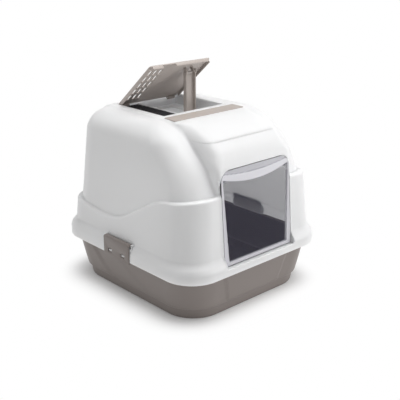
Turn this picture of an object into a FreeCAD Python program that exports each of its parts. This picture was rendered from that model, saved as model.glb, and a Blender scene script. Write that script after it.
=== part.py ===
import FreeCAD, Part
import math
import os

V = FreeCAD.Vector

# ---------------------------------------------------------------- driving dimensions (mm, degrees)
HALF_W = 214.0            # half width of the hood's rim flange
HALF_L = 235.0            # half length of the rim flange; the doorway is in the -Y end
RIM_R = 72.0              # corner radius of the rim flange in plan
RIM_Z = 100.0             # underside of the rim flange
RIM_H = 37.0              # height of the rolled rim
RIM_ROUND = 14.0          # rounding along the rim's upper edge
ROOF_Z = 403.0            # flat top of the hood's middle band
SHOULDER_Z = 401.0        # flat top of the hood beside the band
WALL = 3.0                # moulded wall of hood and tray

SKIRT_INSET = 12.0        # skirt wall, in from the flange, at SKIRT_REF_Z
SKIRT_REF_Z = 137.0
SKIRT_TAPER = 0.073       # inward lean of the skirt per mm of height
UPPER_INSET = 22.0        # upper body wall, in from the flange, at UPPER_REF_Z
UPPER_REF_Z = 200.0
UPPER_TAPER = 0.078
UPPER_ROUND = 37.0        # rounding between the upper body's sides and its top
CHAMFER_TOP_Y = -88.0     # sloping front of the upper body: where it leaves the top ...
CHAMFER_LOW_Y = -209.0    # ... and where it meets the front wall
CHAMFER_LOW_Z = 287.0

BAND_HALF = 110.0         # half width of the middle band, over the roof and down the front
BAND_ROUND = 10.0
BAND_CURVE_Y = -69.0      # the roof's flat ends here and an elliptical brow begins
BROW_REACH = 138.5        # ellipse half axes of the brow
BROW_DROP = 82.0
FACE_Y = -222.0           # front face at FACE_REF_Z; it leans back going up
FACE_REF_Z = 137.0
FACE_LEAN = 0.0773
BAND_BACK_Y = 159.0       # start of the round at the back of the band
BAND_BACK_R = 44.0

DOOR_SILL_Z = 115.0       # lower edge of the doorway
DOORWAY_HALF = 106.0
DOORWAY_H = 209.0
DOORWAY_R = 28.0
DOORWAY_LOW_R = 4.0
DOOR_GAP = 1.2            # gap between door and doorway all round
DOOR_T = 3.0
DOOR_SET = 1.5            # the panel lies this far behind the face
DOOR_RIM_W = 6.0
DOOR_RIM_PROUD = 2.0
DOOR_AXIS_H = 185.0       # pivot line above the sill, along the face
DOOR_AXIS_IN = 3.0        # pivot line behind the face
DOOR_PIN_R = 2.0
DOOR_PIN_IN = 92.0        # the pins' ends, each side of the middle
DOOR_PIN_OUT = 108.9
DOOR_BARREL_IN = 90.0     # barrels on the door that hold them
DOOR_BARREL_OUT = 102.0
RETURN_DEPTH = 12.0       # inward return along the doorway's sides and sill
RETURN_T = 2.5

HATCH_HALF = 91.0         # roof recess, inside
HATCH_FRONT_Y = -16.0
HATCH_BACK_Y = 156.0
HATCH_FLOOR_Z = 378.0
HATCH_T = 2.0
FILTER_WALL_X = -36.0     # low wall between filter pocket and the rest of the recess
FILTER_WALL_TOP = 399.0
FILTER_TOP = 398.5
ARM_SLOT = (20.0, 60.0, 4.0, 131.0)     # x low, x high, y low, y high

LID_AXIS_Y = 149.0
LID_AXIS_Z = 398.0
LID_OPEN = 40.7           # the lid stands open by this angle at rest
LID_HALF = 89.5
LID_LENGTH = 161.0
LID_TOP_Z = 402.5         # outer face of the closed lid
LID_T = 2.5
LID_RIM_H = 9.0
LID_RIM_T = 2.0
LID_KNUCKLE_R = 4.5
LID_PIN_R = 2.0
VENT_COLUMNS = (-72.0, -57.0, -42.0)
VENT_ROWS = (30.0, 55.0, 80.0, 105.0, 131.0)
VENT_LONG = 20.0
VENT_WIDE = 7.5

TRIM_HALF = 104.0         # strip on the roof in front of the lid
TRIM_BACK_Y = -31.0
TRIM_T = 1.5

ARM_X = 41.0              # middle of the prop arm
ARM_W = 30.0
ARM_D = 10.0
ARM_T = 2.0
ARM_PIN_FROM_AXIS = 131.0
ARM_PIN_BELOW = 7.2       # pin below the lid's pivot plane
ARM_PIN_R = 1.5
ARM_EAR_R = 6.5
ARM_FOOT_Z = 372.0

TRAY_BASE_INSET = 31.0    # tray wall, in from the flange, just above the floor
TRAY_STEP_Z = 22.0        # small ledge round the foot of the wall
TRAY_STEP_INSET = 26.0
TRAY_STEP_OUT = 3.5
TRAY_TOP_INSET = 14.0
TRAY_TOP_Z = 97.0
TRAY_RIM_Z = 109.0
TRAY_RIM_INSET = 4.5      # outer edge of the tray's rim, inside the hood's lip
TRAY_ROUND = 7.0

LATCH_Y = 7.0             # middle of each side clip
LATCH_HALF = 45.0
LATCH_LOW_Z = 95.0
LATCH_T = 2.5
LATCH_AXIS_X = 207.0
LATCH_AXIS_Z = 138.0
LATCH_BARREL_R = 3.0
LATCH_PIN_R = 1.5
LATCH_SLOT_Y = 23.0       # the two slots lie this far each side of the clip's middle
LATCH_SLOT_Z = 109.0
SEAT_T = 2.5              # wall behind each clip
RUN = 0.05                # radial running clearance of every pin


# ---------------------------------------------------------------- small helpers
def box(x0, x1, y0, y1, z0, z1):
    return Part.makeBox(x1 - x0, y1 - y0, z1 - z0, V(x0, y0, z0))


def rod_x(radius, x0, x1, y, z):
    return Part.makeCylinder(radius, x1 - x0, V(x0, y, z), V(1, 0, 0))


def rod_y(radius, y0, y1, x, z):
    return Part.makeCylinder(radius, y1 - y0, V(x, y0, z), V(0, 1, 0))


def corner_arc(cx, cy, radius, start_deg, place):
    """Quarter-turn arc about (cx, cy), mapped to space by place(u, v)."""
    points = []
    for turn in (0.0, 45.0, 90.0):
        angle = math.radians(start_deg + turn)
        points.append(place(cx + radius * math.cos(angle), cy + radius * math.sin(angle)))
    return Part.Arc(*points).toShape()


def rounded_wire(u0, u1, v0, v1, radii, place):
    """Closed outline with corner radii (low-left, low-right, high-right, high-left)."""
    low_left, low_right, high_right, high_left = radii
    edges = [
        Part.makeLine(place(u0 + low_left, v0), place(u1 - low_right, v0)),
        corner_arc(u1 - low_right, v0 + low_right, low_right, -90.0, place),
        Part.makeLine(place(u1, v0 + low_right), place(u1, v1 - high_right)),
        corner_arc(u1 - high_right, v1 - high_right, high_right, 0.0, place),
        Part.makeLine(place(u1 - high_right, v1), place(u0 + high_left, v1)),
        corner_arc(u0 + high_left, v1 - high_left, high_left, 90.0, place),
        Part.makeLine(place(u0, v1 - high_left), place(u0, v0 + low_left)),
        corner_arc(u0 + low_left, v0 + low_left, low_left, 180.0, place),
    ]
    return Part.Wire(edges)


def plan_wire(inset, z, corner):
    """Rounded rectangle in plan, inset from the hood's flange."""
    half_x = HALF_W - inset
    half_y = HALF_L - inset
    return rounded_wire(-half_x, half_x, -half_y, half_y, (corner,) * 4, lambda u, v: V(u, v, z))


def tapered_block(low, high, corner):
    """Solid between two plan outlines, each given as (inset, z)."""
    wires = [plan_wire(low[0], low[1], corner), plan_wire(high[0], high[1], corner)]
    return Part.makeLoft(wires, True, True)


def skirt_inset(z):
    return SKIRT_INSET + SKIRT_TAPER * (z - SKIRT_REF_Z)


def upper_inset(z):
    return UPPER_INSET + UPPER_TAPER * (z - UPPER_REF_Z)


def face_y(z):
    return FACE_Y + FACE_LEAN * (z - FACE_REF_Z)


# ---------------------------------------------------------------- hood
def rolled_rim(t):
    """Rounded band round the foot of the hood; t is the distance in from the outside."""
    low = RIM_Z - t
    rim = Part.Face(plan_wire(t, low, RIM_R - t)).extrude(V(0, 0, RIM_H))
    top = low + RIM_H
    edges = [e for e in rim.Edges if abs(e.BoundBox.ZMin - top) < 0.01 and e.BoundBox.ZLength < 0.01]
    return rim.makeFillet(RIM_ROUND - t, edges)


def above_ledge(t):
    """Everything above the wavy ledge that tops the skirt, low at the back and high at the front."""
    points = [(270, 196), (200, 193), (150, 187), (90, 181), (45, 184), (5, 192), (-30, 206),
              (-65, 227), (-100, 249), (-140, 262), (-185, 268), (-270, 275)]
    curve = Part.BSplineCurve()
    curve.interpolate([V(-300, y, z - t) for y, z in points])
    edge = curve.toShape()
    start = V(-300, 270, 196 - t)
    end = V(-300, -270, 275 - t)
    high_end = V(-300, -270, 460)
    high_start = V(-300, 270, 460)
    wire = Part.Wire([edge, Part.makeLine(end, high_end), Part.makeLine(high_end, high_start),
                      Part.makeLine(high_start, start)])
    return Part.Face(wire).extrude(V(600, 0, 0))


def skirt(t):
    low = (skirt_inset(120.0) + t, 120.0)
    high = (skirt_inset(300.0) + t, 300.0)
    return tapered_block(low, high, 66.0 - t).cut(above_ledge(t))


def upper_body(t):
    """Tapered box with a sloping front and large rounds along its top."""
    top = SHOULDER_Z - t
    body = tapered_block((upper_inset(150.0) + t, 150.0), (upper_inset(top) + t, top), 74.0 - t)
    slope = math.atan2(SHOULDER_Z - CHAMFER_LOW_Z, CHAMFER_TOP_Y - CHAMFER_LOW_Y)
    inward = V(0, math.sin(slope), -math.cos(slope)) * t
    high = V(-300, CHAMFER_TOP_Y, SHOULDER_Z) + inward
    low = V(-300, CHAMFER_LOW_Y, CHAMFER_LOW_Z) + inward
    run = (high - low) * 2.0
    wire = Part.makePolygon([low - run, high + run, V(-300, -500, 700), low - run])
    body = body.cut(Part.Face(wire).extrude(V(600, 0, 0)))
    edges = [e for e in body.Edges if e.BoundBox.ZMin > top - 0.01]
    return body.makeFillet(UPPER_ROUND - t, edges)


def middle_band(t):
    """Band that runs over the roof and down the front, with an elliptical brow."""
    reach = BROW_REACH - t
    drop = BROW_DROP - t
    centre = V(-BAND_HALF + t, BAND_CURVE_Y, ROOF_Z - BROW_DROP)
    low_z = 125.0
    sweep = math.pi / 2 - math.atan(FACE_LEAN * drop / reach)

    def brow(angle):
        return centre + V(0, -reach * math.sin(angle), drop * math.cos(angle))

    brow_points = [brow(sweep * i / 8.0) for i in range(9)]
    curve = Part.BSplineCurve()
    curve.interpolate(Points=brow_points, InitialTangent=V(0, -1, 0), FinalTangent=V(0, -FACE_LEAN, -1))
    x = -BAND_HALF + t
    front_low = V(x, face_y(low_z) + t, low_z)
    back_y = BAND_BACK_Y + BAND_BACK_R - t
    radius = BAND_BACK_R - t
    roof = ROOF_Z - t
    hub = V(x, BAND_BACK_Y, roof - radius)
    mid = hub + V(0, radius * math.sin(math.radians(45)), radius * math.cos(math.radians(45)))
    arc = Part.Arc(V(x, BAND_BACK_Y, roof), mid, V(x, back_y, roof - radius)).toShape()
    wire = Part.Wire([
        curve.toShape(),
        Part.makeLine(brow_points[-1], front_low),
        Part.makeLine(front_low, V(x, 150.0, low_z)),
        Part.makeLine(V(x, 150.0, low_z), V(x, 190.0, 200.0)),
        Part.makeLine(V(x, 190.0, 200.0), V(x, back_y, roof - radius)),
        arc,
        Part.makeLine(V(x, BAND_BACK_Y, roof), brow_points[0]),
    ])
    return Part.Face(wire).extrude(V(2 * (BAND_HALF - t), 0, 0))


def hood_form(t):
    form = rolled_rim(t)
    for piece in (skirt(t), upper_body(t), middle_band(t)):
        form = form.fuse(piece)
    return form


def doorway_place():
    """Local frame of the doorway: x across, z up along the leaning face, -y outwards."""
    lean_deg = math.degrees(math.atan(FACE_LEAN))
    return FreeCAD.Placement(V(0, face_y(DOOR_SILL_Z), DOOR_SILL_Z), FreeCAD.Rotation(V(1, 0, 0), -lean_deg))


def placed(shape):
    """Move a shape built in the doorway's local frame to its place."""
    moved = shape.copy()
    moved.Placement = doorway_place()
    return moved


def doorway_prism(grow, y0, y1):
    """Prism over the doorway's outline, grown outwards by grow."""
    radii = (DOORWAY_LOW_R + grow,) * 2 + (DOORWAY_R + grow,) * 2
    wire = rounded_wire(-DOORWAY_HALF - grow, DOORWAY_HALF + grow, -grow, DOORWAY_H + grow,
                        radii, lambda u, v: V(u, y0, v))
    return Part.Face(wire).extrude(V(0, y1 - y0, 0))


def doorway_return():
    """Inward return along the doorway's sides and sill, stopping below the pivots."""
    ring = doorway_prism(RETURN_T, 1.0, RETURN_DEPTH).cut(doorway_prism(0.0, -1.0, RETURN_DEPTH + 1.0))
    keep = box(-150, 150, -5, 30, -30, DOORWAY_H - DOORWAY_R - 12.0)
    return placed(ring.common(keep))


def doorway_sill(form):
    """Floor and cheeks that close the rolled rim where the doorway cuts into it."""
    reach = DOORWAY_HALF + RETURN_T
    sill = box(-reach, reach, -HALF_L - 5, FACE_Y + RETURN_DEPTH, DOOR_SILL_Z - RETURN_T, DOOR_SILL_Z)
    for side in (-1, 1):
        x0, x1 = sorted((side * DOORWAY_HALF, side * reach))
        sill = sill.fuse(box(x0, x1, -HALF_L - 5, FACE_Y + 5, DOOR_SILL_Z - RETURN_T, RIM_Z + RIM_H + 2))
    return form.common(sill)


def door_pin_boss(side):
    """Block behind the face that carries the outer end of one door pin."""
    low_x, high_x = sorted((side * (DOORWAY_HALF + 0.5), side * (BAND_HALF - 0.4)))
    half_z = DOOR_PIN_R + 3.0
    return placed(box(low_x, high_x, 1.0, 8.0, DOOR_AXIS_H - half_z, DOOR_AXIS_H + half_z))


def roof_recess():
    """Recess under the lid: side walls, floor, filter wall, vent slots and the arm's slot."""
    outer = box(-HATCH_HALF - HATCH_T, HATCH_HALF + HATCH_T,
                HATCH_FRONT_Y - HATCH_T, HATCH_BACK_Y + HATCH_T, HATCH_FLOOR_Z - HATCH_T, ROOF_Z - 1.0)
    inner = box(-HATCH_HALF, HATCH_HALF, HATCH_FRONT_Y, HATCH_BACK_Y, HATCH_FLOOR_Z, ROOF_Z + 1.0)
    recess = outer.cut(inner)
    wall = box(FILTER_WALL_X - HATCH_T, FILTER_WALL_X, HATCH_FRONT_Y, LID_AXIS_Y - 7.0,
               HATCH_FLOOR_Z, FILTER_WALL_TOP)
    recess = recess.fuse(wall)
    x0, x1, y0, y1 = ARM_SLOT
    cuts = [box(x0, x1, y0, y1, HATCH_FLOOR_Z - 5, HATCH_FLOOR_Z + 5)]
    for row in range(10):
        y = HATCH_FRONT_Y + 12.0 + 14.0 * row
        cuts.append(box(-HATCH_HALF + 8, FILTER_WALL_X - 10, y, y + 6, HATCH_FLOOR_Z - 5, HATCH_FLOOR_Z + 5))
    return recess.cut(Part.makeCompound(cuts))


def latch_notch(side):
    """Gap in the rolled rim that one clip sits in."""
    low_x, high_x = sorted((side * (LATCH_AXIS_X - 3.5), side * (HALF_W + 20)))
    return box(low_x, high_x, LATCH_Y - LATCH_HALF - 1, LATCH_Y + LATCH_HALF + 1, 80, LATCH_AXIS_Z + 4.0)


def latch_seat(side):
    """Wall behind the notch, its two prongs and the cheeks that hold the clip's pin."""
    wall_x = LATCH_AXIS_X - 3.5
    back_x = wall_x - SEAT_T
    low_x, high_x = sorted((side * back_x, side * wall_x))
    seat = box(low_x, high_x, LATCH_Y - LATCH_HALF - 3, LATCH_Y + LATCH_HALF + 3, RIM_Z, LATCH_AXIS_Z + 6.0)
    prong_out = HALF_W + 3.5
    for step in (-LATCH_SLOT_Y, LATCH_SLOT_Y):
        low_x, high_x = sorted((side * wall_x, side * prong_out))
        y = LATCH_Y + step
        seat = seat.fuse(box(low_x, high_x, y - 5.0, y + 5.0, LATCH_SLOT_Z - 2.0, LATCH_SLOT_Z + 2.5))
    for y in (LATCH_Y - LATCH_HALF - 1.0 - WALL, LATCH_Y + LATCH_HALF + 1.0):
        low_x, high_x = sorted((side * back_x, side * (HALF_W - 1.0)))
        seat = seat.fuse(box(low_x, high_x, y, y + WALL, RIM_Z, RIM_Z + RIM_H - 4.0))
        low_x, high_x = sorted((side * back_x, side * (LATCH_AXIS_X + 3.0)))
        seat = seat.fuse(box(low_x, high_x, y, y + WALL, RIM_Z, LATCH_AXIS_Z + 3.0))
    return seat


def latch_pin_bore(side):
    reach = LATCH_HALF + 6.0
    return rod_y(LATCH_PIN_R, LATCH_Y - reach, LATCH_Y + reach, side * LATCH_AXIS_X, LATCH_AXIS_Z)


def make_hood():
    outside = hood_form(0.0)
    shell = outside.cut(hood_form(WALL))
    shell = shell.fuse(doorway_return()).fuse(doorway_sill(outside))
    opening = box(-HATCH_HALF, HATCH_HALF, HATCH_FRONT_Y, HATCH_BACK_Y, HATCH_FLOOR_Z - 1, ROOF_Z + 5)
    shell = shell.cut(placed(doorway_prism(0.0, -40.0, 40.0))).cut(opening).fuse(roof_recess())
    for side in (-1, 1):
        shell = shell.cut(latch_notch(side)).fuse(latch_seat(side)).cut(latch_pin_bore(side))
        shell = shell.fuse(door_pin_boss(side))
        pin_x0, pin_x1 = sorted((side * DOOR_BARREL_OUT, side * (DOOR_PIN_OUT + 0.5)))
        shell = shell.cut(placed(rod_x(DOOR_PIN_R + RUN, pin_x0, pin_x1, DOOR_AXIS_IN, DOOR_AXIS_H)))
        bore_x0, bore_x1 = sorted((side * (HATCH_HALF - 1), side * (HATCH_HALF + 1.6)))
        shell = shell.cut(rod_x(LID_PIN_R, bore_x0, bore_x1, LID_AXIS_Y, LID_AXIS_Z))
    return shell


# ---------------------------------------------------------------- tray
def make_tray():
    """Litter tray: stepped foot, flared wall and a turned-out rim that stands inside the hood's lip."""
    foot = tapered_block((TRAY_BASE_INSET + 1.5, 0.0), (TRAY_STEP_INSET + TRAY_STEP_OUT, TRAY_STEP_Z), 76.0)
    low_edges = [e for e in foot.Edges if e.BoundBox.ZMax < 0.01]
    foot = foot.makeFillet(TRAY_ROUND, low_edges)
    wall = tapered_block((TRAY_STEP_INSET, TRAY_STEP_Z), (TRAY_TOP_INSET, TRAY_TOP_Z), 76.0)
    rim = tapered_block((TRAY_RIM_INSET, TRAY_RIM_Z - WALL), (TRAY_RIM_INSET, TRAY_RIM_Z), 68.0)
    flare = tapered_block((TRAY_TOP_INSET, TRAY_TOP_Z), (TRAY_TOP_INSET - 0.3, TRAY_RIM_Z), 76.0)
    tray = foot.fuse(wall).fuse(flare).fuse(rim)
    foot_inset = TRAY_STEP_INSET + TRAY_STEP_OUT + WALL
    low_hollow = tapered_block((foot_inset + 2.0, WALL), (foot_inset, TRAY_STEP_Z + WALL), 73.0)
    top_inset = TRAY_TOP_INSET + WALL
    high_hollow = tapered_block((TRAY_STEP_INSET + WALL, TRAY_STEP_Z + WALL), (top_inset, TRAY_TOP_Z), 73.0)
    mouth = tapered_block((top_inset, TRAY_TOP_Z), (top_inset - 0.5, TRAY_RIM_Z + 1), 73.0)
    tray = tray.cut(low_hollow).cut(high_hollow).cut(mouth)
    reach = LATCH_HALF + WALL + 2.5
    for side in (-1, 1):
        x0, x1 = sorted((side * (HALF_W - TRAY_TOP_INSET + 0.4), side * HALF_W))
        tray = tray.cut(box(x0, x1, LATCH_Y - reach, LATCH_Y + reach, TRAY_TOP_Z + 1, TRAY_RIM_Z + 5))
    return tray


# ---------------------------------------------------------------- door
def make_door():
    """Swing door: flat panel with a raised rim that sags under its top edge."""
    def panel_prism(shrink, y0, y1):
        inset = DOOR_GAP + shrink
        radii = (max(DOORWAY_LOW_R - inset, 2.0),) * 2 + (DOORWAY_R - inset,) * 2
        wire = rounded_wire(-DOORWAY_HALF + inset, DOORWAY_HALF - inset, inset, DOORWAY_H - inset,
                            radii, lambda u, v: V(u, y0, v))
        return Part.Face(wire).extrude(V(0, y1 - y0, 0))

    panel = panel_prism(0.0, DOOR_SET, DOOR_SET + DOOR_T)
    rim = panel_prism(0.0, DOOR_SET - DOOR_RIM_PROUD, DOOR_SET + 1).cut(panel_prism(DOOR_RIM_W, -10, 10))
    door = panel.fuse(rim)
    for side in (-1, 1):
        x0, x1 = sorted((side * DOOR_BARREL_IN, side * DOOR_BARREL_OUT))
        door = door.fuse(rod_x(DOOR_PIN_R + 1.3, x0, x1, DOOR_AXIS_IN, DOOR_AXIS_H))
        x0, x1 = sorted((side * DOOR_PIN_IN, side * DOORWAY_HALF))
        door = door.cut(rod_x(DOOR_PIN_R, x0, x1, DOOR_AXIS_IN, DOOR_AXIS_H))
    return placed(door)


def make_door_pin(side):
    x0, x1 = sorted((side * DOOR_PIN_IN, side * DOOR_PIN_OUT))
    return placed(rod_x(DOOR_PIN_R, x0, x1, DOOR_AXIS_IN, DOOR_AXIS_H))


# ---------------------------------------------------------------- lid, built closed, then swung open
def opened(shape):
    swung = shape.copy()
    swung.rotate(V(0, LID_AXIS_Y, LID_AXIS_Z), V(1, 0, 0), -LID_OPEN)
    return swung


def lid_pin_centre():
    """The prop arm's pivot on the closed lid, as (y, z)."""
    return LID_AXIS_Y - ARM_PIN_FROM_AXIS, LID_AXIS_Z - ARM_PIN_BELOW


def vent_slot(x, y):
    """Round-ended vent slot, long along the lid."""
    half = VENT_LONG / 2
    wide = VENT_WIDE / 2
    slot = box(x - wide, x + wide, y - half + wide, y + half - wide, LID_TOP_Z - 10, LID_TOP_Z + 10)
    for end in (y - half + wide, y + half - wide):
        slot = slot.fuse(Part.makeCylinder(wide, 20, V(x, end, LID_TOP_Z - 10)))
    return slot


def make_lid():
    front_y = LID_AXIS_Y - LID_LENGTH
    low = LID_TOP_Z - LID_T
    lid = box(-LID_HALF, LID_HALF, front_y, LID_AXIS_Y, low, LID_TOP_Z)
    corner = [e for e in lid.Edges if e.BoundBox.ZLength > LID_T - 0.1 and e.BoundBox.YMax < front_y + 0.1]
    lid = lid.makeFillet(6.0, corner)
    for side in (-1, 1):
        x0, x1 = sorted((side * LID_HALF, side * (LID_HALF - LID_RIM_T)))
        lid = lid.fuse(box(x0, x1, front_y + 6, LID_AXIS_Y - 8, LID_TOP_Z - LID_RIM_H, low))
        x0, x1 = sorted((side * 60.0, side * 80.0))
        knuckle = rod_x(LID_KNUCKLE_R, x0, x1, LID_AXIS_Y, LID_AXIS_Z)
        bore = rod_x(LID_PIN_R + RUN, x0 - 1, x1 + 1, LID_AXIS_Y, LID_AXIS_Z)
        lid = lid.fuse(knuckle).cut(bore)
    for x0, x1 in ((-LID_HALF + 6, -54.0), (-16.0, LID_HALF - 6)):
        lid = lid.fuse(box(x0, x1, front_y, front_y + LID_RIM_T, LID_TOP_Z - LID_RIM_H, low))
    pin_y, pin_z = lid_pin_centre()
    for x0 in (ARM_X - 11.5, ARM_X + 9.0):
        lug = box(x0, x0 + 2.5, pin_y - 3.5, pin_y + 3.5, pin_z, low)
        lug = lug.fuse(rod_x(3.5, x0, x0 + 2.5, pin_y, pin_z))
        lid = lid.fuse(lug)
    lid = lid.cut(rod_x(ARM_PIN_R, ARM_X - 12, ARM_X + 12, pin_y, pin_z))
    vents = [vent_slot(x, LID_AXIS_Y - s) for x in VENT_COLUMNS for s in VENT_ROWS]
    return opened(lid.cut(Part.makeCompound(vents)))


def make_lid_pin(side):
    x0, x1 = sorted((side * 61.0, side * (HATCH_HALF + 1.6)))
    return rod_x(LID_PIN_R, x0, x1, LID_AXIS_Y, LID_AXIS_Z)


def open_pin_centre():
    """The prop arm's pivot with the lid standing open, as (y, z)."""
    pin_y, pin_z = lid_pin_centre()
    point = FreeCAD.Rotation(V(1, 0, 0), -LID_OPEN).multVec(V(0, pin_y - LID_AXIS_Y, pin_z - LID_AXIS_Z))
    return LID_AXIS_Y + point.y, LID_AXIS_Z + point.z


def make_arm():
    """Prop arm: upright channel, open towards the front, with two rounded ears on its pin."""
    y, z = open_pin_centre()
    half = ARM_W / 2
    back = y + ARM_D - 4.0
    front = y - 4.0
    arm = box(ARM_X - half, ARM_X + half, back - ARM_T, back, ARM_FOOT_Z, z - 7.0)
    for x0 in (ARM_X - half, ARM_X + half - ARM_T):
        arm = arm.fuse(box(x0, x0 + ARM_T, front, back, ARM_FOOT_Z, z - 4.0))
        arm = arm.fuse(rod_x(ARM_EAR_R - 0.5, x0, x0 + ARM_T, y, z))
    arm = arm.fuse(box(ARM_X - half, ARM_X + half, front, back, ARM_FOOT_Z, ARM_FOOT_Z + ARM_T))
    return arm.cut(rod_x(ARM_PIN_R + RUN, ARM_X - half - 1, ARM_X + half + 1, y, z))


def make_arm_pin():
    y, z = open_pin_centre()
    return rod_x(ARM_PIN_R, ARM_X - ARM_W / 2 - 0.6, ARM_X + ARM_W / 2 + 0.6, y, z)


# ---------------------------------------------------------------- side clips
def make_latch(side):
    """Side clip: plate over the rim's notch, turned in at the top to a barrel on its pin."""
    out = side * (HALF_W + 2.0)
    inner = side * (HALF_W + 2.0 - LATCH_T)
    y0 = LATCH_Y - LATCH_HALF
    y1 = LATCH_Y + LATCH_HALF
    top = LATCH_AXIS_Z + LATCH_BARREL_R
    x0, x1 = sorted((out, inner))
    clip = box(x0, x1, y0, y1, LATCH_LOW_Z, top)
    x0, x1 = sorted((out, side * LATCH_AXIS_X))
    clip = clip.fuse(box(x0, x1, y0, y1, top - 2.0, top))
    clip = clip.fuse(rod_y(LATCH_BARREL_R, y0, y1, side * LATCH_AXIS_X, LATCH_AXIS_Z))
    for step in (-LATCH_SLOT_Y, LATCH_SLOT_Y):
        y = LATCH_Y + step
        low_x, high_x = sorted((side * (HALF_W - 4), side * (HALF_W + 10)))
        clip = clip.cut(box(low_x, high_x, y - 7.0, y + 7.0, LATCH_SLOT_Z - 4.0, LATCH_SLOT_Z + 4.5))
    return clip.cut(rod_y(LATCH_PIN_R + RUN, y0 - 1, y1 + 1, side * LATCH_AXIS_X, LATCH_AXIS_Z))


def make_latch_pin(side):
    reach = LATCH_HALF + 1.0 + WALL
    return rod_y(LATCH_PIN_R, LATCH_Y - reach, LATCH_Y + reach, side * LATCH_AXIS_X, LATCH_AXIS_Z)


# ---------------------------------------------------------------- loose pieces
def make_roof_trim():
    """Strip let into the roof in front of the lid."""
    trim = box(-TRIM_HALF, TRIM_HALF, BAND_CURVE_Y, TRIM_BACK_Y, ROOF_Z, ROOF_Z + TRIM_T)
    upright = [e for e in trim.Edges if e.BoundBox.ZLength > 1.0]
    return trim.makeFillet(4.0, upright)


def make_filter():
    """Carbon pad, clear of the shut lid's rims."""
    return box(-HATCH_HALF + 4.5, FILTER_WALL_X - HATCH_T - 1.0, HATCH_FRONT_Y + 7.0, LID_AXIS_Y - 8.0,
               HATCH_FLOOR_Z, FILTER_TOP)


def main():
    os.makedirs("parts", exist_ok=True)
    nodes = {
        "base_tray": make_tray(),
        "hood": make_hood(),
        "roof_trim": make_roof_trim(),
        "carbon_filter": make_filter(),
        "roof_lid": make_lid(),
        "prop_arm": make_arm(),
        "prop_arm_pin": make_arm_pin(),
        "door_panel": make_door(),
    }
    for side, word in ((-1, "left"), (1, "right")):
        nodes["lid_pin_" + word] = make_lid_pin(side)
        nodes["door_pin_" + word] = make_door_pin(side)
        nodes["latch_" + word] = make_latch(side)
        nodes["latch_pin_" + word] = make_latch_pin(side)
    for name, shape in nodes.items():
        shape = shape.removeSplitter()
        volume = round(shape.Volume / 1000.0, 1)
        print(name, "valid", shape.isValid(), "solids", len(shape.Solids), "cm3", volume)
        shape.exportStep("parts/" + name + ".step")


if __name__ == "__main__":
    main()
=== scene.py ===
"""Cat litter box with a hood: its looks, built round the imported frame."""

import math

import bmesh
import bpy
import numpy as np
from mathutils import Matrix, Vector


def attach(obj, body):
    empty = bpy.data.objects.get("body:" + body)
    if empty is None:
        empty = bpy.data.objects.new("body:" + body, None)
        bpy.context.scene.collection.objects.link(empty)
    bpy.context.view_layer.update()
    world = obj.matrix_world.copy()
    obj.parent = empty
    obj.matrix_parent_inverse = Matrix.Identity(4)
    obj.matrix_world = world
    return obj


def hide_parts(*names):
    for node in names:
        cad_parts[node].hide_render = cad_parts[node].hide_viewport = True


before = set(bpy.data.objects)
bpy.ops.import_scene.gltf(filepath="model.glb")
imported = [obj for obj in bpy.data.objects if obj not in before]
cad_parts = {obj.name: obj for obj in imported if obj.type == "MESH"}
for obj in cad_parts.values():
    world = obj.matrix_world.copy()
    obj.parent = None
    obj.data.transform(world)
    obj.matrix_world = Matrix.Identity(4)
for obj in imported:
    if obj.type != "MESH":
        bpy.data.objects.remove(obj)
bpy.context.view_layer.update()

bl_info = {
    "name": "Hooded cat litter box",
    "version": (1, 0, 0),
    "blender": (4, 5, 0),
    "location": "3D View > Sidebar > Litter box",
    "description": "Builds the visible pieces of a hooded cat litter box",
    "category": "Add Mesh",
}

MM = 0.001                     # the shapes below are worked out in millimetres

# ---------------------------------------------------------------- sizes shared by several pieces, mm
HALF_W = 214.0                 # hood's rim flange, half width and half length
HALF_L = 235.0
FLANGE_R = 72.0
FLANGE_Z = 100.0
FLANGE_TOP = 137.0
ROOF_Z = 403.0
SHOULDER_Z = 401.0
FACE_Y = -222.0                # front face at FLANGE_TOP, leaning back going up
FACE_LEAN = 0.0773
FACE_ANGLE = math.atan(FACE_LEAN)
SILL_Z = 115.0
DOORWAY_HALF = 106.0
DOORWAY_H = 209.0
DOORWAY_R = 28.0
DOORWAY_LOW_R = 4.0
HATCH_HALF = 91.0
HATCH_FRONT = -16.0
HATCH_BACK = 156.0
HATCH_FLOOR = 378.0
ROOF_CURVE_Y = -69.0           # where the flat roof turns down into the brow
BAND_HALF = 110.0
DOOR_PIVOT = (3.0, 185.0)      # depth behind the face, and height up the door
CLIP_Y = 7.0
CLIP_HALF = 45.0
CLIP_AXIS_X = 207.0
CLIP_AXIS_Z = 138.0
SLOT_STEP = 23.0
LID_AXIS = (149.0, 398.0)      # y, z of the lid's hinge
LID_OPEN = math.radians(40.7)
ARM_X = 41.0
ARM_PIN_BACK = 131.0           # arm's pivot from the lid's hinge, and below it, with the lid shut
ARM_PIN_BELOW = 7.2


def linear(hex_colour):
    """sRGB hex to the linear colour that the shader takes."""
    value = hex_colour.lstrip("#")
    channels = [int(value[i:i + 2], 16) / 255 for i in (0, 2, 4)]
    return tuple(c / 12.92 if c <= 0.04045 else ((c + 0.055) / 1.055) ** 2.4 for c in channels)


# ---------------------------------------------------------------- what a user would change
def length(name, description, default):
    return bpy.props.FloatProperty(
        name=name, description=description, default=default, min=0.0, unit="LENGTH", precision=4
    )


def colour(name, description, hex_colour):
    return bpy.props.FloatVectorProperty(
        name=name, description=description, default=linear(hex_colour), subtype="COLOR",
        size=3, min=0.0, max=1.0,
    )


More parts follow.
